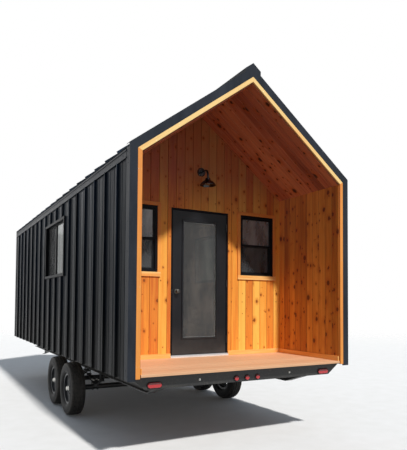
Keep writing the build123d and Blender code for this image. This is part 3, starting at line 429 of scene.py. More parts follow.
dome = [(0.0, 0.0058), (0.0012, 0.0056), (0.0026, 0.0042), (0.0033, 0.0018)]
side_trim = 1.505  # face of the corner trim; the eave trim stands 2 mm proud of it
gable_lift = 0.151  # gable trim above the ceiling's face
cap_lift = 0.190  # top of the ridge cap above it
cap_screw = 0.070  # its screws, out from the ridge
heads = []
for side in (-1, 1):
    level = (side, 0, 0)
    slope = (side * 0.6, 0, 0.8)
    for y in (front + 0.05, rear - 0.05):
        heads += [((side * side_trim, y, 0.98 + 0.3 * n), level) for n in range(8)]
        heads += [((x, y, roof_z(x, gable_lift)), slope) for x in [side * (1.38 - 0.23 * n) for n in range(6)]]
    for y in [front + 0.2 + seam_pitch * n for n in range(18)]:
        heads.append(((side * cap_screw, y, roof_z(cap_screw, cap_lift)), slope))
        heads.append(((side * (side_trim + 0.002), y, 3.182), level))
screws = [turned(spot, out, dome, 10) for spot, out in heads]
piece("trim_screws", screws, "siding_metal", folded_coat, smooth=40)

# Closures of the roof: folded plates at the two ends of the ridge cap, strips between the seams along its
# edges, and a strip along each eave, over the siding's top edge, that hides the cut end of the plywood.
plate = [(0, 0.1515), (0.1006, 0.1515), (0.1006, 0.1856), (0, 0.1856)]
ridge_strip = [(0.0975, 0.1262), (0.0995, 0.1262), (0.0995, 0.1535), (0.0975, 0.1535)]
eave_strip = [(1.4952, 3.2424), (1.4988, 3.2424), (1.4988, 3.2518), (1.4952, 3.2545)]
closures = []
for y, side in product((front + 0.0005, rear - 0.0035), (-1, 1)):
    closures.append(loft([[(side * x, y + painted_shade_heights, roof_z(x, lift)) for x, lift in plate] for painted_shade_heights in (0, 0.003)]))
for side in (-1, 1):
    for n in range(17):
        ends = [front + first_seam + seam_pitch * (n + share) for share in (0.03, 0.97)]
        closures.append(loft([[(side * x, y, roof_z(x, lift)) for x, lift in ridge_strip] for y in ends]))
    ends = [front + 0.100, rear - 0.100]
    closures.append(loft([[(side * x, y, z) for x, z in eave_strip] for y in ends]))
piece("roof_closures", closures, "siding_metal", folded_coat)


# Cedar lining of the porch: knotty western cedar boards, planed, with V joints and a clear oil.
# The oil brings out straw, orange and red-brown heartwood from board to board. Dark figure runs along
# each board and bends round the knots, which are 8 to 40 mm wide, reddish brown and come in groups.
def cedar(name, straw, orange, red, knotty, core, face=None, painted_shade_heights=None, large=1.0):
    """Oiled cedar that follows each board's own grain.

    knotty is the share of places that hold a knot, large widens the knots, and core gives their colours from the
    heart outwards. Joints darken below the face, the boards' thickness, and a painted shade turns the tone redder,
    darker and more purple upwards between the two heights given for it.
    """
    made, node = material(name)
    grain = node("Attribute", attribute_name="grain").outputs["Vector"]
    board = node("Attribute", attribute_name="tone").outputs["Fac"]
    # the edge of a knot wanders by 4 mm, and a knot is a little longer along the board than across it
    wander = node("TexNoise", grain, Scale=48.0, Detail=3.0).outputs["Color"]
    wander = node("VectorMath", wander, (0.5, 0.5, 0.5), operation="SUBTRACT")
    uneven = node("VectorMath", wander, (0.018, 0.018, 0.0), grain, operation="MULTIPLY_ADD")
    uneven = node("Mapping", uneven, Scale=(1.0, 0.75, 1.0))
    crowd = node("MapRange", node("TexNoise", grain, Scale=2.7, Detail=1.0), 0.35, 0.62, 0.25, 1.3)
    knot = None
    # squares of 230 and 110 mm: a share of them, knotty, holds a knot of 8 to 20 or 4 to 9 mm radius
    for squares, part in ((4.3, 1.0), (9.2, 0.32)):
        spots = node("TexVoronoi", uneven, Scale=squares, voronoi_dimensions="2D")
        chance = node("SeparateColor", spots.outputs["Color"])
        size = node("Math", chance.outputs["Green"], 2.0, operation="POWER")
        size = node("Math", size, 0.050 * large, 0.036 * large, operation="MULTIPLY_ADD")
        odds = node("Math", crowd, knotty * part, operation="MULTIPLY")
        has_knot = node("Math", chance.outputs["Red"], odds, operation="LESS_THAN")
        near = node("Math", spots.outputs["Distance"], size, operation="DIVIDE")
        # the knot itself, and the wider ring of wood that bends round it
        rounds = [node("MapRange", near, *ends, interpolation_type="SMOOTHSTEP") for ends in ((1.5, 0.6), (4.0, 0.8))]
        rounds = [node("Math", fade, has_knot, operation="MULTIPLY") for fade in rounds]
        if knot:
            rounds = [node("Math", *pair, operation="MAXIMUM") for pair in zip((knot, halo), rounds)]
            near = node("Math", nearest, near, operation="MINIMUM")
        knot, halo = rounds
        nearest = near
    # growth lines 4 to 9 mm apart, drawn out along the board and pushed aside by the knots
    push = node("Math", halo, 0.014, operation="MULTIPLY")
    pushed = node("VectorMath", grain, node("CombineXYZ", push))
    long_way = node("Mapping", pushed, Scale=(1.0, 0.045, 1.0))
    rings = node("TexWave", long_way, Scale=34.0, Distortion=9.0, Detail=3.0, Detail_Scale=1.2).outputs["Fac"]
    fibres = node("TexNoise", long_way, Scale=330.0, Detail=3.0)
    broad = node("TexNoise", long_way, Scale=24.0, Detail=3.0, Roughness=0.6)
    # colour: the board's own tone, with light and dark figure 20 to 50 mm wide in it
    tone = node("Math", node("Math", broad, 1.1, board, operation="MULTIPLY_ADD"), -0.55)
    colour = node("ValToRGB", tone, stops=[(0.0, red), (0.45, orange), (1.0, straw)])
    if painted_shade_heights:
        # painted shade: the boards' upper ends are turned a deeper, purplish red for the shade under the porch roof
        height = node("SeparateXYZ", node("TexCoord").outputs["Object"]).outputs["Z"]
        painted_shade = node("MapRange", height, painted_shade_heights[0], painted_shade_heights[1], To_Max=0.62)
        colour = node("MixRGB", painted_shade, colour, "#8b4749")
    line = node("MapRange", rings, 0.62, 1.0, To_Max=0.24)
    dark = node("MapRange", fibres, 0.55, 0.85, To_Max=0.22)
    warm = node("Math", halo, 0.55, operation="MULTIPLY")
    heart = node("ValToRGB", nearest, stops=list(zip((0.0, 0.55, 1.0), core)))
    for amount, over in ((line, "#a85a1c"), (dark, "#8f4817"), (warm, "#b5571a"), (knot, heart)):
        colour = node("MixRGB", amount, colour, over)
    if face:
        # oil and shade gather in the V joints
        depth = node("SeparateXYZ", grain).outputs["Z"]
        joint = node("MapRange", depth, face, face - 0.004, To_Max=0.55)
        colour = node("MixRGB", joint, colour, "#6a3210")
    coated(node, colour, (fibres, 0.38, 0.60), (rings, 0.18, 0.0008), Specular_IOR_Level=0.25)
    return made


lining = 0.018  # thickness of the boards
knot_brown = ("#9a5722", "#84441a", "#62300f")
# the back wall's boards take painted shade towards their upper ends, from 2.75 to 3.45 m up
knotty_cedar = cedar("oiled_knotty_cedar", "#ffc25a", "#f09c3c", "#cf6f2c", 1.1, knot_brown, lining, (2.75, 3.45),
                     0.85)
# The side walls and the ceiling are the same cedar as the back wall, given darker and redder colours and knots:
# painted shade for the porch's shaded walls and ceiling. Their more and larger knots are the wood's own.
wall_cedar_painted_shade = cedar("oiled_cedar_painted_wall_shade", "#f0a446", "#cf7f2c", "#96491a", 1.7, ("#80421b", "#6b3213", "#50230b"), lining,
                   large=1.45)
ceiling_cedar_painted_shade = cedar("oiled_cedar_painted_ceiling_shade", "#d88e65", "#ab624a", "#6d362e", 1.4, ("#4a200e", "#38160a", "#240d05"),
                    lining, large=1.45)
clear_cedar = cedar("oiled_clear_cedar", "#ffd88e", "#f3a24c", "#e08a45", 0.04, knot_brown)

timber = random.Random(11)


def square(height):
    """End of a board that is sawn square at this height."""
    return lambda a, n: height


class Boards:
    """Boards of one piece: each keeps its own tone and a grain that starts at a place of its own."""

    def __init__(self, thickness=lining):
        self.thickness = thickness
        self.parts = []
        self.tone = []
        self.grain = []

    def face(self, *axes):
        """Turns to the next face: its origin, and the ways along the boards, across them and out."""
        self.axes = [Vector(axis) for axis in axes]

    def strip(self, a0, a1, low, high, tone, shift, ease0=0.0, ease1=0.0):
        """Part of a board from a0 to a1 across; low and high give its ends at (across, out)."""
        t = self.thickness
        profile = [(a0, 0.0), (a1, 0.0), (a1, t - ease1)] + ([(a1 - ease1, t)] if ease1 else [])
        profile += [(a0 + ease0, t)] + ([(a0, t - ease0)] if ease0 else [])
        origin, along, across, out = self.axes
        loops = []
        for end in (low, high):
            loops.append([origin + across * a + out * n + along * end(a, n) for a, n in profile])
            self.grain += [(a + shift[0], end(a, n) + shift[1], n) for a, n in profile]
        self.tone += [tone] * (2 * len(profile))
        self.parts.append(loft(loops))

    def row(self, start, count, width, spans, cuts=(), ease=0.005, tones=(0.12, 0.95)):
        """Boards side by side; spans(a0, a1) lists the (low, high) stretches of a strip between two cuts."""
        for n in range(count):
            a0 = start + n * width
            a1 = a0 + width
            tone = tones[0] + (tones[1] - tones[0]) * timber.random()
            shift = (timber.uniform(0, 40), timber.uniform(0, 40))
            edges = [a0] + [c for c in sorted(cuts) if a0 + 1e-5 < c < a1 - 1e-5] + [a1]
            for b0, b1 in zip(edges, edges[1:]):
                for low, high in spans(b0, b1):
                    self.strip(b0, b1, low, high, tone, shift, ease if b0 == a0 else 0.0, ease if b1 == a1 else 0.0)

    def plank(self, corners, depth, along, tone, ease=0.0015):
        """Flat board: an outline of corners moved by the depth vector, with eased edges on its outer face."""
        depth = Vector(depth)
        corners = [Vector(c) for c in corners]
        centre = sum(corners, Vector()) / len(corners)
        unit = depth.normalized()
        inset = []
        for i, c in enumerate(corners):
            before = (corners[i - 1] - c).normalized()
            after = (corners[(i + 1) % len(corners)] - c).normalized()
            bend = max(0.2, sqrt(max(0.0, (1 - before.dot(after)) / 2)))
            inset.append(c + (before + after).normalized() * ease / bend)
        loops = [corners, [c + depth - unit * ease for c in corners], [c + depth for c in inset]]
        along = Vector(along).normalized()
        across = unit.cross(along)
        shift = (timber.uniform(0, 40), timber.uniform(0, 40))
        for d in [p - centre for loop in loops for p in loop]:
            self.grain.append((d.dot(across) + shift[0], d.dot(along) + shift[1], d.dot(unit)))
            self.tone.append(tone)
        self.parts.append(loft(loops))

    def made(self, name, slot, finish, replaced):
        piece(name, self.parts, slot, finish, replaced=replaced, tone=self.tone, grain=self.grain)


porch_depth = 1.240
back_y = front + porch_depth  # face of the porch's back wall
lining_y = front + 0.019  # where the lining stops, behind the opening boards
frame_top = 0.908  # the side boards run down to the trailer frame
door_half = 0.447
door_top = 2.935
window_x = (0.647, 1.233)
window_sill = 2.063


def back_spans(b0, b1):
    """Stretches of a back wall board that the door and windows leave."""
    middle = abs(b0 + b1) / 2
    over = (square(door_top - deck_top), lambda a, n: roof_z(a) - deck_top)
    if middle < door_half:
        return [over]
    if window_x[0] < middle < window_x[1]:
        return [(square(0.0), square(window_sill - deck_top)), over]
    return [(square(0.0), over[1])]


back = Boards()
back.face((0, back_y + lining, deck_top), (0, 0, 1), (1, 0, 0), (0, -1, 0))
cuts = [side * x for side in (-1, 1) for x in (door_half, *window_x)]
back.row(-inner_x, 22, 2 * inner_x / 22, back_spans, cuts)
back.made("porch_back_lining", "cedar_board", knotty_cedar, ["porch_back_boards", "porch_gable_boards"])

board_width = (porch_depth - 0.019) / 10
walls = Boards()
for side in (-1, 1):
    walls.face((side * inner_x, lining_y, frame_top), (0, 0, 1), (0, 1, 0), (-side, 0, 0))
    ends = (square(0.0), lambda a, n: roof_z(inner_x - n) - frame_top)
    walls.row(0.0, 10, board_width, lambda b0, b1: [ends], tones=(0.25, 0.75))
walls.made("porch_side_lining", "cedar_board", wall_cedar_painted_shade, ["porch_side_boards"])

for label, side in (("left", -1), ("right", 1)):
    ceiling = Boards()
    ceiling.face((0, lining_y, roof_z(0, lining)), (side * 0.8, 0, -0.6), (0, 1, 0), (-side * 0.6, 0, -0.8))
    ends = (lambda a, n: 0.75 * n, lambda a, n: (inner_x + 0.6 * n) / 0.8)
    ceiling.row(0.0, 10, board_width, lambda b0, b1: [ends], tones=(0.0, 0.85))
    ceiling.made("porch_ceiling_lining_" + label, "cedar_board", ceiling_cedar_painted_shade, ["porch_ceiling_boards_" + label])

# Trim round the porch opening, along the foot of the walls and round the windows.
# Clear cedar boards from lighter sapwood, mitred at the ridge and eaves and butted elsewhere, with
# slightly eased edges, fixed with small finishing nails.
trim_x = 1.418
trim_low = 0.894
trim_lift = 0.060
board_x = 1.369  # inner edge of the opening boards, which leave the lining's edge bare
board_lift = 0.012
board_face = front + 0.0004  # leaves room for the nail heads

opening = Boards()
thick = (0, board_face - lining_y, 0)
for side in (-1, 1):
    low_eave = (side * board_x, lining_y, roof_z(board_x, board_lift))
    high_eave = (side * trim_x, lining_y, roof_z(trim_x, trim_lift))
    post = [(side * board_x, lining_y, trim_low), (side * trim_x, lining_y, trim_low), high_eave, low_eave]
    opening.plank(post, thick, (0, 0, 1), 0.24)
    rake = [low_eave, high_eave, (0, lining_y, roof_z(0, trim_lift)), (0, lining_y, roof_z(0, board_lift))]
    opening.plank(rake, thick, (-side * 0.8, 0, 0.6), 1.0)
opening.made("porch_opening_boards", "cedar_trim", clear_cedar, ["opening_trim"])

base_top = deck_top + 0.060
base_thick = 0.014
base_x = lining_x - base_thick
casing = 0.044  # width of the boards round a window
casing_thick = 0.018
sill_low = window_sill - 0.060
trim = Boards()
for side in (-1, 1):
    base = ((lining_y, deck_top), (back_y, deck_top), (back_y, base_top), (lining_y, base_top))
    trim.plank([(side * lining_x, y, z) for y, z in base], (-side * base_thick, 0, 0), (0, 1, 0), 0.5)
    x0, x1 = window_x
    outer0, outer1 = x0 - casing, x1 + casing
    # the casing tones are partly painted light: the top and side casings take dark tones for the shade on them, and
    # the sill a pale one for the light on it
    for a, b, z0, z1, thick, way, tone in (
            (door_half, base_x, deck_top, base_top, base_thick, (1, 0, 0), 0.55),
            (outer0, outer1, door_top, door_top + casing, casing_thick, (1, 0, 0), 0.2),
            (outer0, outer1, sill_low, window_sill, casing_thick, (1, 0, 0), 0.7),
            (outer0, x0, window_sill, door_top, casing_thick, (0, 0, 1), 0.35),
            (x1, outer1, window_sill, door_top, casing_thick, (0, 0, 1), 0.2)):
        board = [(side * x, back_y, z) for x, z in ((a, z0), (b, z0), (b, z1), (a, z1))]
        trim.plank(board, (0, -thick, 0), way, tone)
trim.made("porch_trim_planks", "cedar_trim", clear_cedar, ["porch_trim_boards"])

# Finishing nails: plated, driven nearly flush, in pairs every 400 mm on the posts and every 250 to 340 mm elsewhere.
nail = [(-0.0006, 0.0022), (0.0, 0.0022), (0.0002, 0.0018), (0.0003, 0.0006)]
base_z = deck_top + 0.030
casing_face = back_y - casing_thick
nails = []
for side in (-1, 1):
    forward = [(x, board_face, 1.02 + 0.4 * n) for x in (board_x + 0.012, trim_x - 0.012) for n in range(6)]
    forward += [(x, board_face, roof_z(x, lift)) for lift in (board_lift + 0.012, 0.048)
                for x in [1.22 - 0.27 * n for n in range(5)]]
    nails += [turned((side * x, y, z), (0, -1, 0), nail, 8) for x, y, z in forward]
    nails += [turned((side * base_x, front + 0.08 + 0.27 * n, base_z), (-side, 0, 0), nail, 8) for n in range(5)]
    forward = [(0.52 + 0.25 * n, back_y - base_thick, base_z) for n in range(4)]
    for n in range(3):
        forward += [(0.69 + 0.25 * n, casing_face, z) for z in (door_top + casing / 2, window_sill - 0.030)]
        forward += [(x, casing_face, 2.16 + 0.33 * n) for x in (x0 - casing / 2, x1 + casing / 2)]
    nails += [turned((side * x, y, z), (0, -1, 0), nail, 8) for x, y, z in forward]
piece("trim_nails", nails, "zinc_steel", zinc, smooth=60)

# Porch deck: wood-plastic composite boards, extruded, brushed and embossed with a shallow grain.
# They are pinkish tan with faint streaks, run across the house and lie 5 mm apart on hidden clips.
composite, node = material("embossed_composite_board")
grain = node("Attribute", attribute_name="grain").outputs["Vector"]
board = node("Attribute", attribute_name="tone").outputs["Fac"]
long_way = node("Mapping", grain, Scale=(1.0, 0.05, 1.0))
streak = node("TexNoise", long_way, Scale=70.0, Detail=4.0)
embossed = node("TexWave", long_way, Scale=60.0, Distortion=14.0, Detail=2.0).outputs["Fac"]
tone = node("Math", streak, 0.6, board, operation="MULTIPLY_ADD")
tone = node("ValToRGB", tone, stops=[(0.15, "#c48f66"), (0.6, "#d5a178"), (1.0, "#e2b48b")])
coated(node, tone, (streak, 0.5, 0.7), (embossed, 0.25, 0.001), Specular_IOR_Level=0.4)

deck_gap = 0.005
deck = Boards(deck_top - frame_top)
deck_start = front + 0.003
deck.face((-lining_x, deck_start, frame_top), (1, 0, 0), (0, 1, 0), (0, 0, 1))
deck_width = (back_y - deck_start + deck_gap) / 9
for n in range(9):
    a0 = n * deck_width
    shift = (timber.uniform(0, 40), timber.uniform(0, 40))
    tone = 0.2 + 0.3 * timber.random()
    deck.strip(a0, a0 + deck_width - deck_gap, square(0.0), square(2 * lining_x), tone, shift, 0.003, 0.003)
deck.made("porch_deck_planks", "deck_board", composite, ["porch_deck"])


# Windows: black vinyl frames, extruded and welded at the corners, with clear sealed glass.
# A soft black gasket runs round each pane, and a black mesh screen in a thin aluminium frame stands in
# front of the sash that opens.
vinyl = cloudy("extruded_black_vinyl", 12.0, 5.0, [(0.3, "#111215"), (0.75, "#1b1c1f")], (0.36, 0.5),
               (600.0, 2.0, 0.12, 0.0006), Specular_IOR_Level=0.06)
dressed(vinyl, "porch_window_frames", "side_window_frames", "door_frame")

for name, dust_and_reflection_low, dust_and_reflection_high, share, index, gloss, pane in (
        ("clear_float_glass", "#80868a", "#c4c9ca", 0.60, 1.52, 0.6, "porch_window_glass"),
        ("shaded_float_glass", "#6a7470", "#9aa39c", 0.85, 1.25, 0.3, "side_window_glass"),
        ("dusty_float_glass", "#6a6c6a", "#aba8a1", 0.93, 1.52, 0.3, "door_glass")):
    # clear float glass under a thin cloudy film of dust, with share of its light let through; on the porch and side
    # windows the film's bluish and green-grey tones are also painted reflection of sky and trees
    glass, node = material(name)
    place = node("TexCoord").outputs["Object"]
    wave = node("TexNoise", place, Scale=2.2, Detail=1.0)
    wiped = node("Mapping", place, Rotation=(0.0, 0.6, 0.0), Scale=(1.0, 1.0, 0.35))
    dust_and_reflection = node("TexNoise", wiped, Scale=5.0, Detail=4.0, Roughness=0.6)
    tone = node("ValToRGB", dust_and_reflection, stops=[(0.38, dust_and_reflection_low), (0.66, dust_and_reflection_high)])
    coated(node, tone, (dust_and_reflection, 0.01, 0.12, 0.45, 0.85), (wave, 0.25, 0.004), IOR=index, Transmission_Weight=share,
           Specular_IOR_Level=gloss)
    dressed(glass, pane)


corners = ((-1, -1), (1, -1), (1, 1), (-1, 1))


def mitred(centre, right, width, height, section):
    """Upright ring of bars with mitred corners; the section lists (out, inward) points from its outer corner."""
    centre, right, up = Vector(centre), Vector(right), Vector((0, 0, 1))
    out = right.cross(up)
    loops = []
    for sx, sz in corners:
        corner = centre + right * sx * width / 2 + up * sz * height / 2
        inward = -right * sx - up * sz
        loops.append([corner + out * o + inward * n for o, n in section])
    return loft(loops, ring=True)


gasket = [(0, 0), (0.004, 0), (0, 0.0056)]
screen_bar = [(0, 0), (0.0064, 0), (0.008, 0.0028), (0.008, 0.0112), (0.0064, 0.014), (0, 0.014)]
frame_bar = 0.030
sash_bar = 0.024
sash_depths = (0.012, 0.042)  # of the fixed sash and the one that opens, behind the frame's face
glass_depth = 0.0125  # of the glass behind its sash
screen_depth = 0.036
cloth_depth = 0.032
hung_x = sum(window_x) / 2
hung_z = (window_sill + door_top) / 2
hung_half = (door_top - window_sill) / 2 - frame_bar
hung_pane = (0.478, 0.370)  # width, height inside the sash
slider_x = 1.499
slider_y = front + 3.301
slider_z = 2.492
slider_pane = (0.584, 0.778)
hung_screen = (0.522, 0.404)
slider_screen = (0.618, 0.822)
gaskets = []
screens = []
cloths = []
for side in (-1, 1):
    for turn, depth in zip((1, -1), sash_depths):
        z = hung_z + turn * (hung_half - sash_bar - hung_pane[1] / 2)
        gaskets.append(mitred((side * hung_x, back_y + depth + glass_depth, z), (1, 0, 0), *hung_pane, gasket))
    z = hung_z - hung_half + 0.203
    screens.append(mitred((side * hung_x, back_y + screen_depth, z), (1, 0, 0), *hung_screen, screen_bar))
    cloths.append([(side * hung_x + 0.25 * sx, back_y + cloth_depth, z + 0.19 * sz) for sx, sz in corners])
    for shift, depth in zip((-0.304, 0.304), sash_depths):
        centre = (side * (slider_x - depth - glass_depth), slider_y + shift, slider_z)
        gaskets.append(mitred(centre, (0, side, 0), *slider_pane, gasket))
    y = slider_y + 0.310
    screens.append(mitred((side * (slider_x - screen_depth), y, slider_z), (0, side, 0), *slider_screen, screen_bar))
    cloths.append([(side * (slider_x - cloth_depth), y + 0.3 * sy, slider_z + 0.4 * sz) for sy, sz in corners])
piece("window_gaskets", gaskets, "black_frame", rubber)
piece("window_screen_frames", screens, "black_frame", vinyl)

# Screen mesh: black glass-fibre threads 1.4 mm apart, drawn here 5 mm apart so that the weave shows.
screen_cloth, node = material("woven_glass_fibre_screen")
axes = node("SeparateXYZ", node("TexCoord").outputs["Object"])
level = node("Math", axes.outputs["X"], axes.outputs["Y"])
threads = [node("Math", node("Math", way, 2 * pi / 0.005, operation="MULTIPLY"), operation="SINE")
           for way in (level, axes.outputs["Z"])]
top = node("Math", *threads, operation="MAXIMUM")
cover = node("MapRange", top, 0.0, 0.9, 0.30, 0.72)
tone = node("ValToRGB", top, stops=[(0.4, "#101113"), (0.9, "#242628")])
coated(node, tone, 0.6, Alpha=cover, Specular_IOR_Level=0.3)
piece("window_screen_cloth", [(cloth, [(0, 1, 2, 3)]) for cloth in cloths], "black_frame", screen_cloth)


# Door: smooth moulded fibreglass leaf with a raised frame round its long pane, brushed satin black.
# It hangs on three black butt hinges at its right edge and opens outwards over an aluminium threshold.
# The paint shows faint brush lines, and dust near its foot.
leaf_face = front + 1.252
leaf_back = leaf_face + 0.044
leaf_half = 0.417
leaf_low = 0.973
leaf_high = 2.905

door_paint, node = material("brushed_satin_black_paint")
place = node("TexCoord").outputs["Object"]
height = node("SeparateXYZ", place).outputs["Z"]
cloud = node("TexNoise", place, Scale=3.5, Detail=7.0, Roughness=0.65)
strokes = node("TexNoise", node("Mapping", place, Scale=(260.0, 260.0, 3.0)), Scale=1.0, Detail=3.0)
tone = node("ValToRGB", cloud, stops=[(0.3, "#101114"), (0.75, "#1b1c20")])
low = node("MapRange", height, 1.35, 0.95)
settled = node("Math", node("Math", low, cloud, operation="MULTIPLY"), 0.35, operation="MULTIPLY")
coat = node("MixRGB", settled, tone, "#77716a")
coated(node, coat, (cloud, 0.3, 0.5), (strokes, 0.18, 0.0006), Specular_IOR_Level=0.2)
dressed(door_paint, "door_leaf")

hardware = cloudy("cast_black_hardware", 70.0, 5.0, [(0.4, "#232325"), (0.8, "#4a4a4b")], (0.2, 0.42), Metallic=0.6)
dressed(hardware, "door_hinges", "door_hinge_leaves")

# The knob is drawn brass with a darkened nickel plate, which catches the light on its upper half.
nickel = cloudy("darkened_nickel_plate", 60.0, 4.0, [(0.35, "#45443f"), (0.75, "#63625c")], (0.26, 0.42),
                Metallic=0.9)
dressed(nickel, "door_handle")

# Countersunk screws, four in each leaf of a hinge, flush with the plate and crossed by their slots.
screw_head = [(-0.0006, 0.0036), (0.0001, 0.0036), (0.0003, 0.0030), (0.0003, 0.0004)]
hinge_z = (leaf_low + 0.180, (leaf_low + leaf_high) / 2, leaf_high - 0.180)
for holder, body, x, way in (("frame", "house", 0.4225, -1), ("leaf", "door", leaf_half + 0.0025, 1)):
    heads = [turned((x, leaf_face + y, z + dz), (way, 0, 0), screw_head, 10)
             for z, (y, dz) in product(hinge_z, ((0.012, -0.041), (0.028, -0.018), (0.012, 0.018), (0.028, 0.041)))]
    piece("hinge_screws_" + holder, heads, "zinc_steel", zinc, smooth=30, body=body)

aluminium, node = material("extruded_mill_aluminium")
place = node("TexCoord").outputs["Object"]
lines = node("TexNoise", node("Mapping", place, Scale=(4.0, 380.0, 380.0)), Scale=1.0, Detail=3.0)
tone = node("ValToRGB", lines, stops=[(0.3, "#cfd0d0"), (0.75, "#efefee")])
coated(node, tone, (lines, 0.3, 0.5), (lines, 0.2, 0.0005), Metallic=0.5)
dressed(aluminium, "door_threshold")

# Weather seal on the stops of the frame, and a sweep with three fins under the leaf, both of black rubber.
seal_x = 0.4195
seal_ends = (0.968, 2.9075)
rail = [(x, leaf_back + 0.004, z) for x, way in ((-seal_x, 1), (seal_x, -1)) for z in seal_ends[::way]]
seal = [tube(ends, [0.0036] * 2, 10) for ends in zip(rail, rail[1:])]
piece("door_weather_seal", seal, "black_frame", rubber, smooth=50)


def slab(low, high, bevel):
    """Block between two corners, with its edges eased by the bevel."""
    (x0, y0, z0), (x1, y1, z1) = low, high
    loops = []
    for z, inset in ((z0, bevel), (z0 + bevel, 0), (z1 - bevel, 0), (z1, bevel)):
        a, b, c, d = x0 + inset, x1 - inset, y0 + inset, y1 - inset
        loops.append([(a + bevel, c, z), (b - bevel, c, z), (b, c + bevel, z), (b, d - bevel, z), (b - bevel, d, z),
                      (a + bevel, d, z), (a, d - bevel, z), (a, c + bevel, z)])
    return loft(loops)


sweep = [slab((0.002 - leaf_half, leaf_face + 0.008, 0.9668), (leaf_half - 0.002, leaf_back - 0.008, 0.9728), 0.0008)]
for y in [leaf_face + 0.014 + 0.008 * k for k in range(3)]:
    sweep.append(slab((0.004 - leaf_half, y, 0.9655), (leaf_half - 0.004, y + 0.0025, 0.967), 0.0004))
piece("door_sweep", sweep, "black_frame", rubber, body="door")

# Spacer of the sealed glass: folded aluminium that shows as a fine bright line inside the pane.
spacer = [(0.005, 0), (-0.005, 0), (-0.005, 0.009), (0.005, 0.009)]
piece("door_glass_spacer", [mitred((0, leaf_face + 0.022, 1.980), (1, 0, 0), 0.512, 1.567, spacer)],
      "threshold_metal", aluminium, body="door")

# Latch plate and bolt in the leaf's edge, and the strike plate in the frame: plated steel.
plate = slab((-leaf_half - 0.0012, leaf_face + 0.010, 1.786), (0.0005 - leaf_half, leaf_back - 0.010, 1.844), 0.0004)
bolt = slab((-leaf_half - 0.0055, leaf_face + 0.015, 1.806), (-leaf_half, leaf_back - 0.016, 1.824), 0.0012)
piece("door_latch", [plate, bolt], "threshold_metal", zinc, body="door")
strike = [slab((-0.425, leaf_face + 0.008, 1.780), (-0.4236, leaf_back - 0.004, 1.850), 0.0004)]
piece("door_strike", strike, "threshold_metal", zinc)


# Porch lamp: a spun steel dome shade on a cast gooseneck, stove enamelled gloss black inside and out.
# A dark amber glass bulb stands in a black moulded socket, up inside the shade.
enamel = cloudy("stove_enamelled_steel", 60.0, 4.0, [(0.35, "#0a0b0f"), (0.75, "#14161b")], (0.14, 0.28),
                IOR=1.5, Coat_Weight=0.15, Coat_Roughness=0.05)
dressed(enamel, "porch_lamp_shade", "porch_lamp_arm")
amber = cloudy("blown_amber_glass", 45.0, 2.0, [(0.3, "#6f4a22"), (0.8, "#96682f")], 0.18,
               IOR=1.5, Coat_Weight=0.4, Coat_Roughness=0.05)

lamp_y = front + 1.050
shade_high = 3.346
# both profiles list the distance below the top of the shade and the radius, in tenths of a millimetre
socket = [(102, 175), (140, 190), (360, 190), (375, 178), (440, 178), (460, 150)]
bulb = [(458, 130), (510, 150), (580, 215), (660, 262), (750, 275), (840, 250), (910, 185), (948, 95), (956, 20)]
for name, profile, finish, steps, smooth in (("lamp_socket", socket, enamel, 28, 35),
                                             ("lamp_bulb", bulb, amber, 32, 60)):
    line = [(shade_high - drop / 1e4, r / 1e4) for drop, r in profile]
    piece(name, [turned((0, lamp_y, 0), (0, 0, 1), line, steps)], "lamp_enamel", finish, smooth)


# Studio: pale floor that fades into a white surround, a key lamp like a low sun and an even white surround.
pale_floor, node = material("pale_studio_floor")
place = node("TexCoord").outputs["Object"]
grit = node("TexNoise", place, Scale=4.0, Detail=6.0)
tone = node("ValToRGB", grit, stops=[(0.3, "#e4e2de"), (0.8, "#eae8e5")])
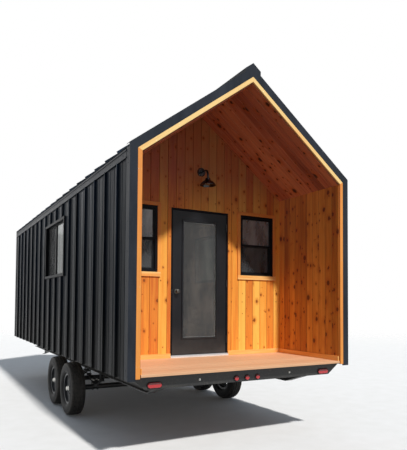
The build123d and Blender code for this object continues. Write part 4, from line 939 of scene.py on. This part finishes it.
# the floor throws back only as much light on to the object as bare ground would
thrown = node("LightPath").outputs["Is Diffuse Ray"]
tone = node("MixRGB", thrown, tone, "#6c6a66")
shader = node("BsdfPrincipled", Base_Color=tone, Roughness=0.9, Specular_IOR_Level=0.2)
far = node("VectorMath", place, operation="LENGTH").outputs["Value"]
fade = node("MapRange", far, 9.0, 24.0, interpolation_type="SMOOTHSTEP")
node("OutputMaterial", node("MixShader", fade, shader, node("BsdfTransparent")))
mesh = bpy.data.meshes.new("studio_floor")
mesh.from_pydata([(40 * x, 40 * y, -0.001) for x, y in corners], [], [(0, 1, 2, 3)])
mesh.materials.append(pale_floor)
studio_floor = placed("studio_floor", mesh)

world = bpy.data.worlds.new("white_surround")
bpy.context.scene.world = world
world.use_nodes = True
world.node_tree.nodes.clear()
node = partial(add, world.node_tree)
path = node("LightPath")
seen = node("Math", path.outputs["Is Camera Ray"], path.outputs["Is Glossy Ray"], operation="MAXIMUM")
seen = node("Math", seen, path.outputs["Is Transmission Ray"], operation="MAXIMUM")
strength = node("MapRange", seen, To_Min=0.27)
tint = node("MixRGB", seen, (0.62, 0.78, 1.0, 1.0), (1.0, 1.0, 1.0, 1.0))
node("OutputWorld", node("Background", tint, strength))

# The weak fill from behind keeps the shaded rear readable, and throws no shadow of its own.
for name, energy, angle, shadow, way in (("key_lamp", 3.8, 3, True, (-0.044, 1.0, -1.08)),
                                         ("fill_lamp", 0.5, 60, False, (0.0, -0.85, -0.60))):
    light = bpy.data.lights.new(name, "SUN")
    light.energy = energy
    light.angle = radians(angle)
    light.use_shadow = shadow
    placed(name, light).rotation_euler = Vector(way).to_track_quat("-Z", "Y").to_euler()

# Camera at the photograph's place: 4.6 m in front of the porch, to its left, at eye height.
photo_height = 450  # pixels
focal = 486.454  # pixels
horizon = 285.875  # row of the lens axis, from the top
yaw, pitch, roll = radians(29.386), radians(2.006), radians(0.389)
ahead = Vector((sin(yaw) * cos(pitch), cos(yaw) * cos(pitch), sin(pitch)))
level_right = Vector((cos(yaw), -sin(yaw), 0))
level_up = level_right.cross(ahead)
right = level_right * cos(roll) + level_up * sin(roll)
up = level_up * cos(roll) - level_right * sin(roll)
lens_data = bpy.data.cameras.new("camera")
lens_data.sensor_width = 36.0
lens_data.lens = focal * lens_data.sensor_width / photo_height
lens_data.shift_y = (horizon - photo_height / 2) / photo_height
camera = placed("camera", lens_data)
camera.matrix_world = Matrix((right, up, -ahead)).transposed().to_4x4()
camera.location = (-3.226, -8.8955, 1.664)
bpy.context.scene.camera = camera
bpy.context.scene.view_settings.view_transform = "Standard"
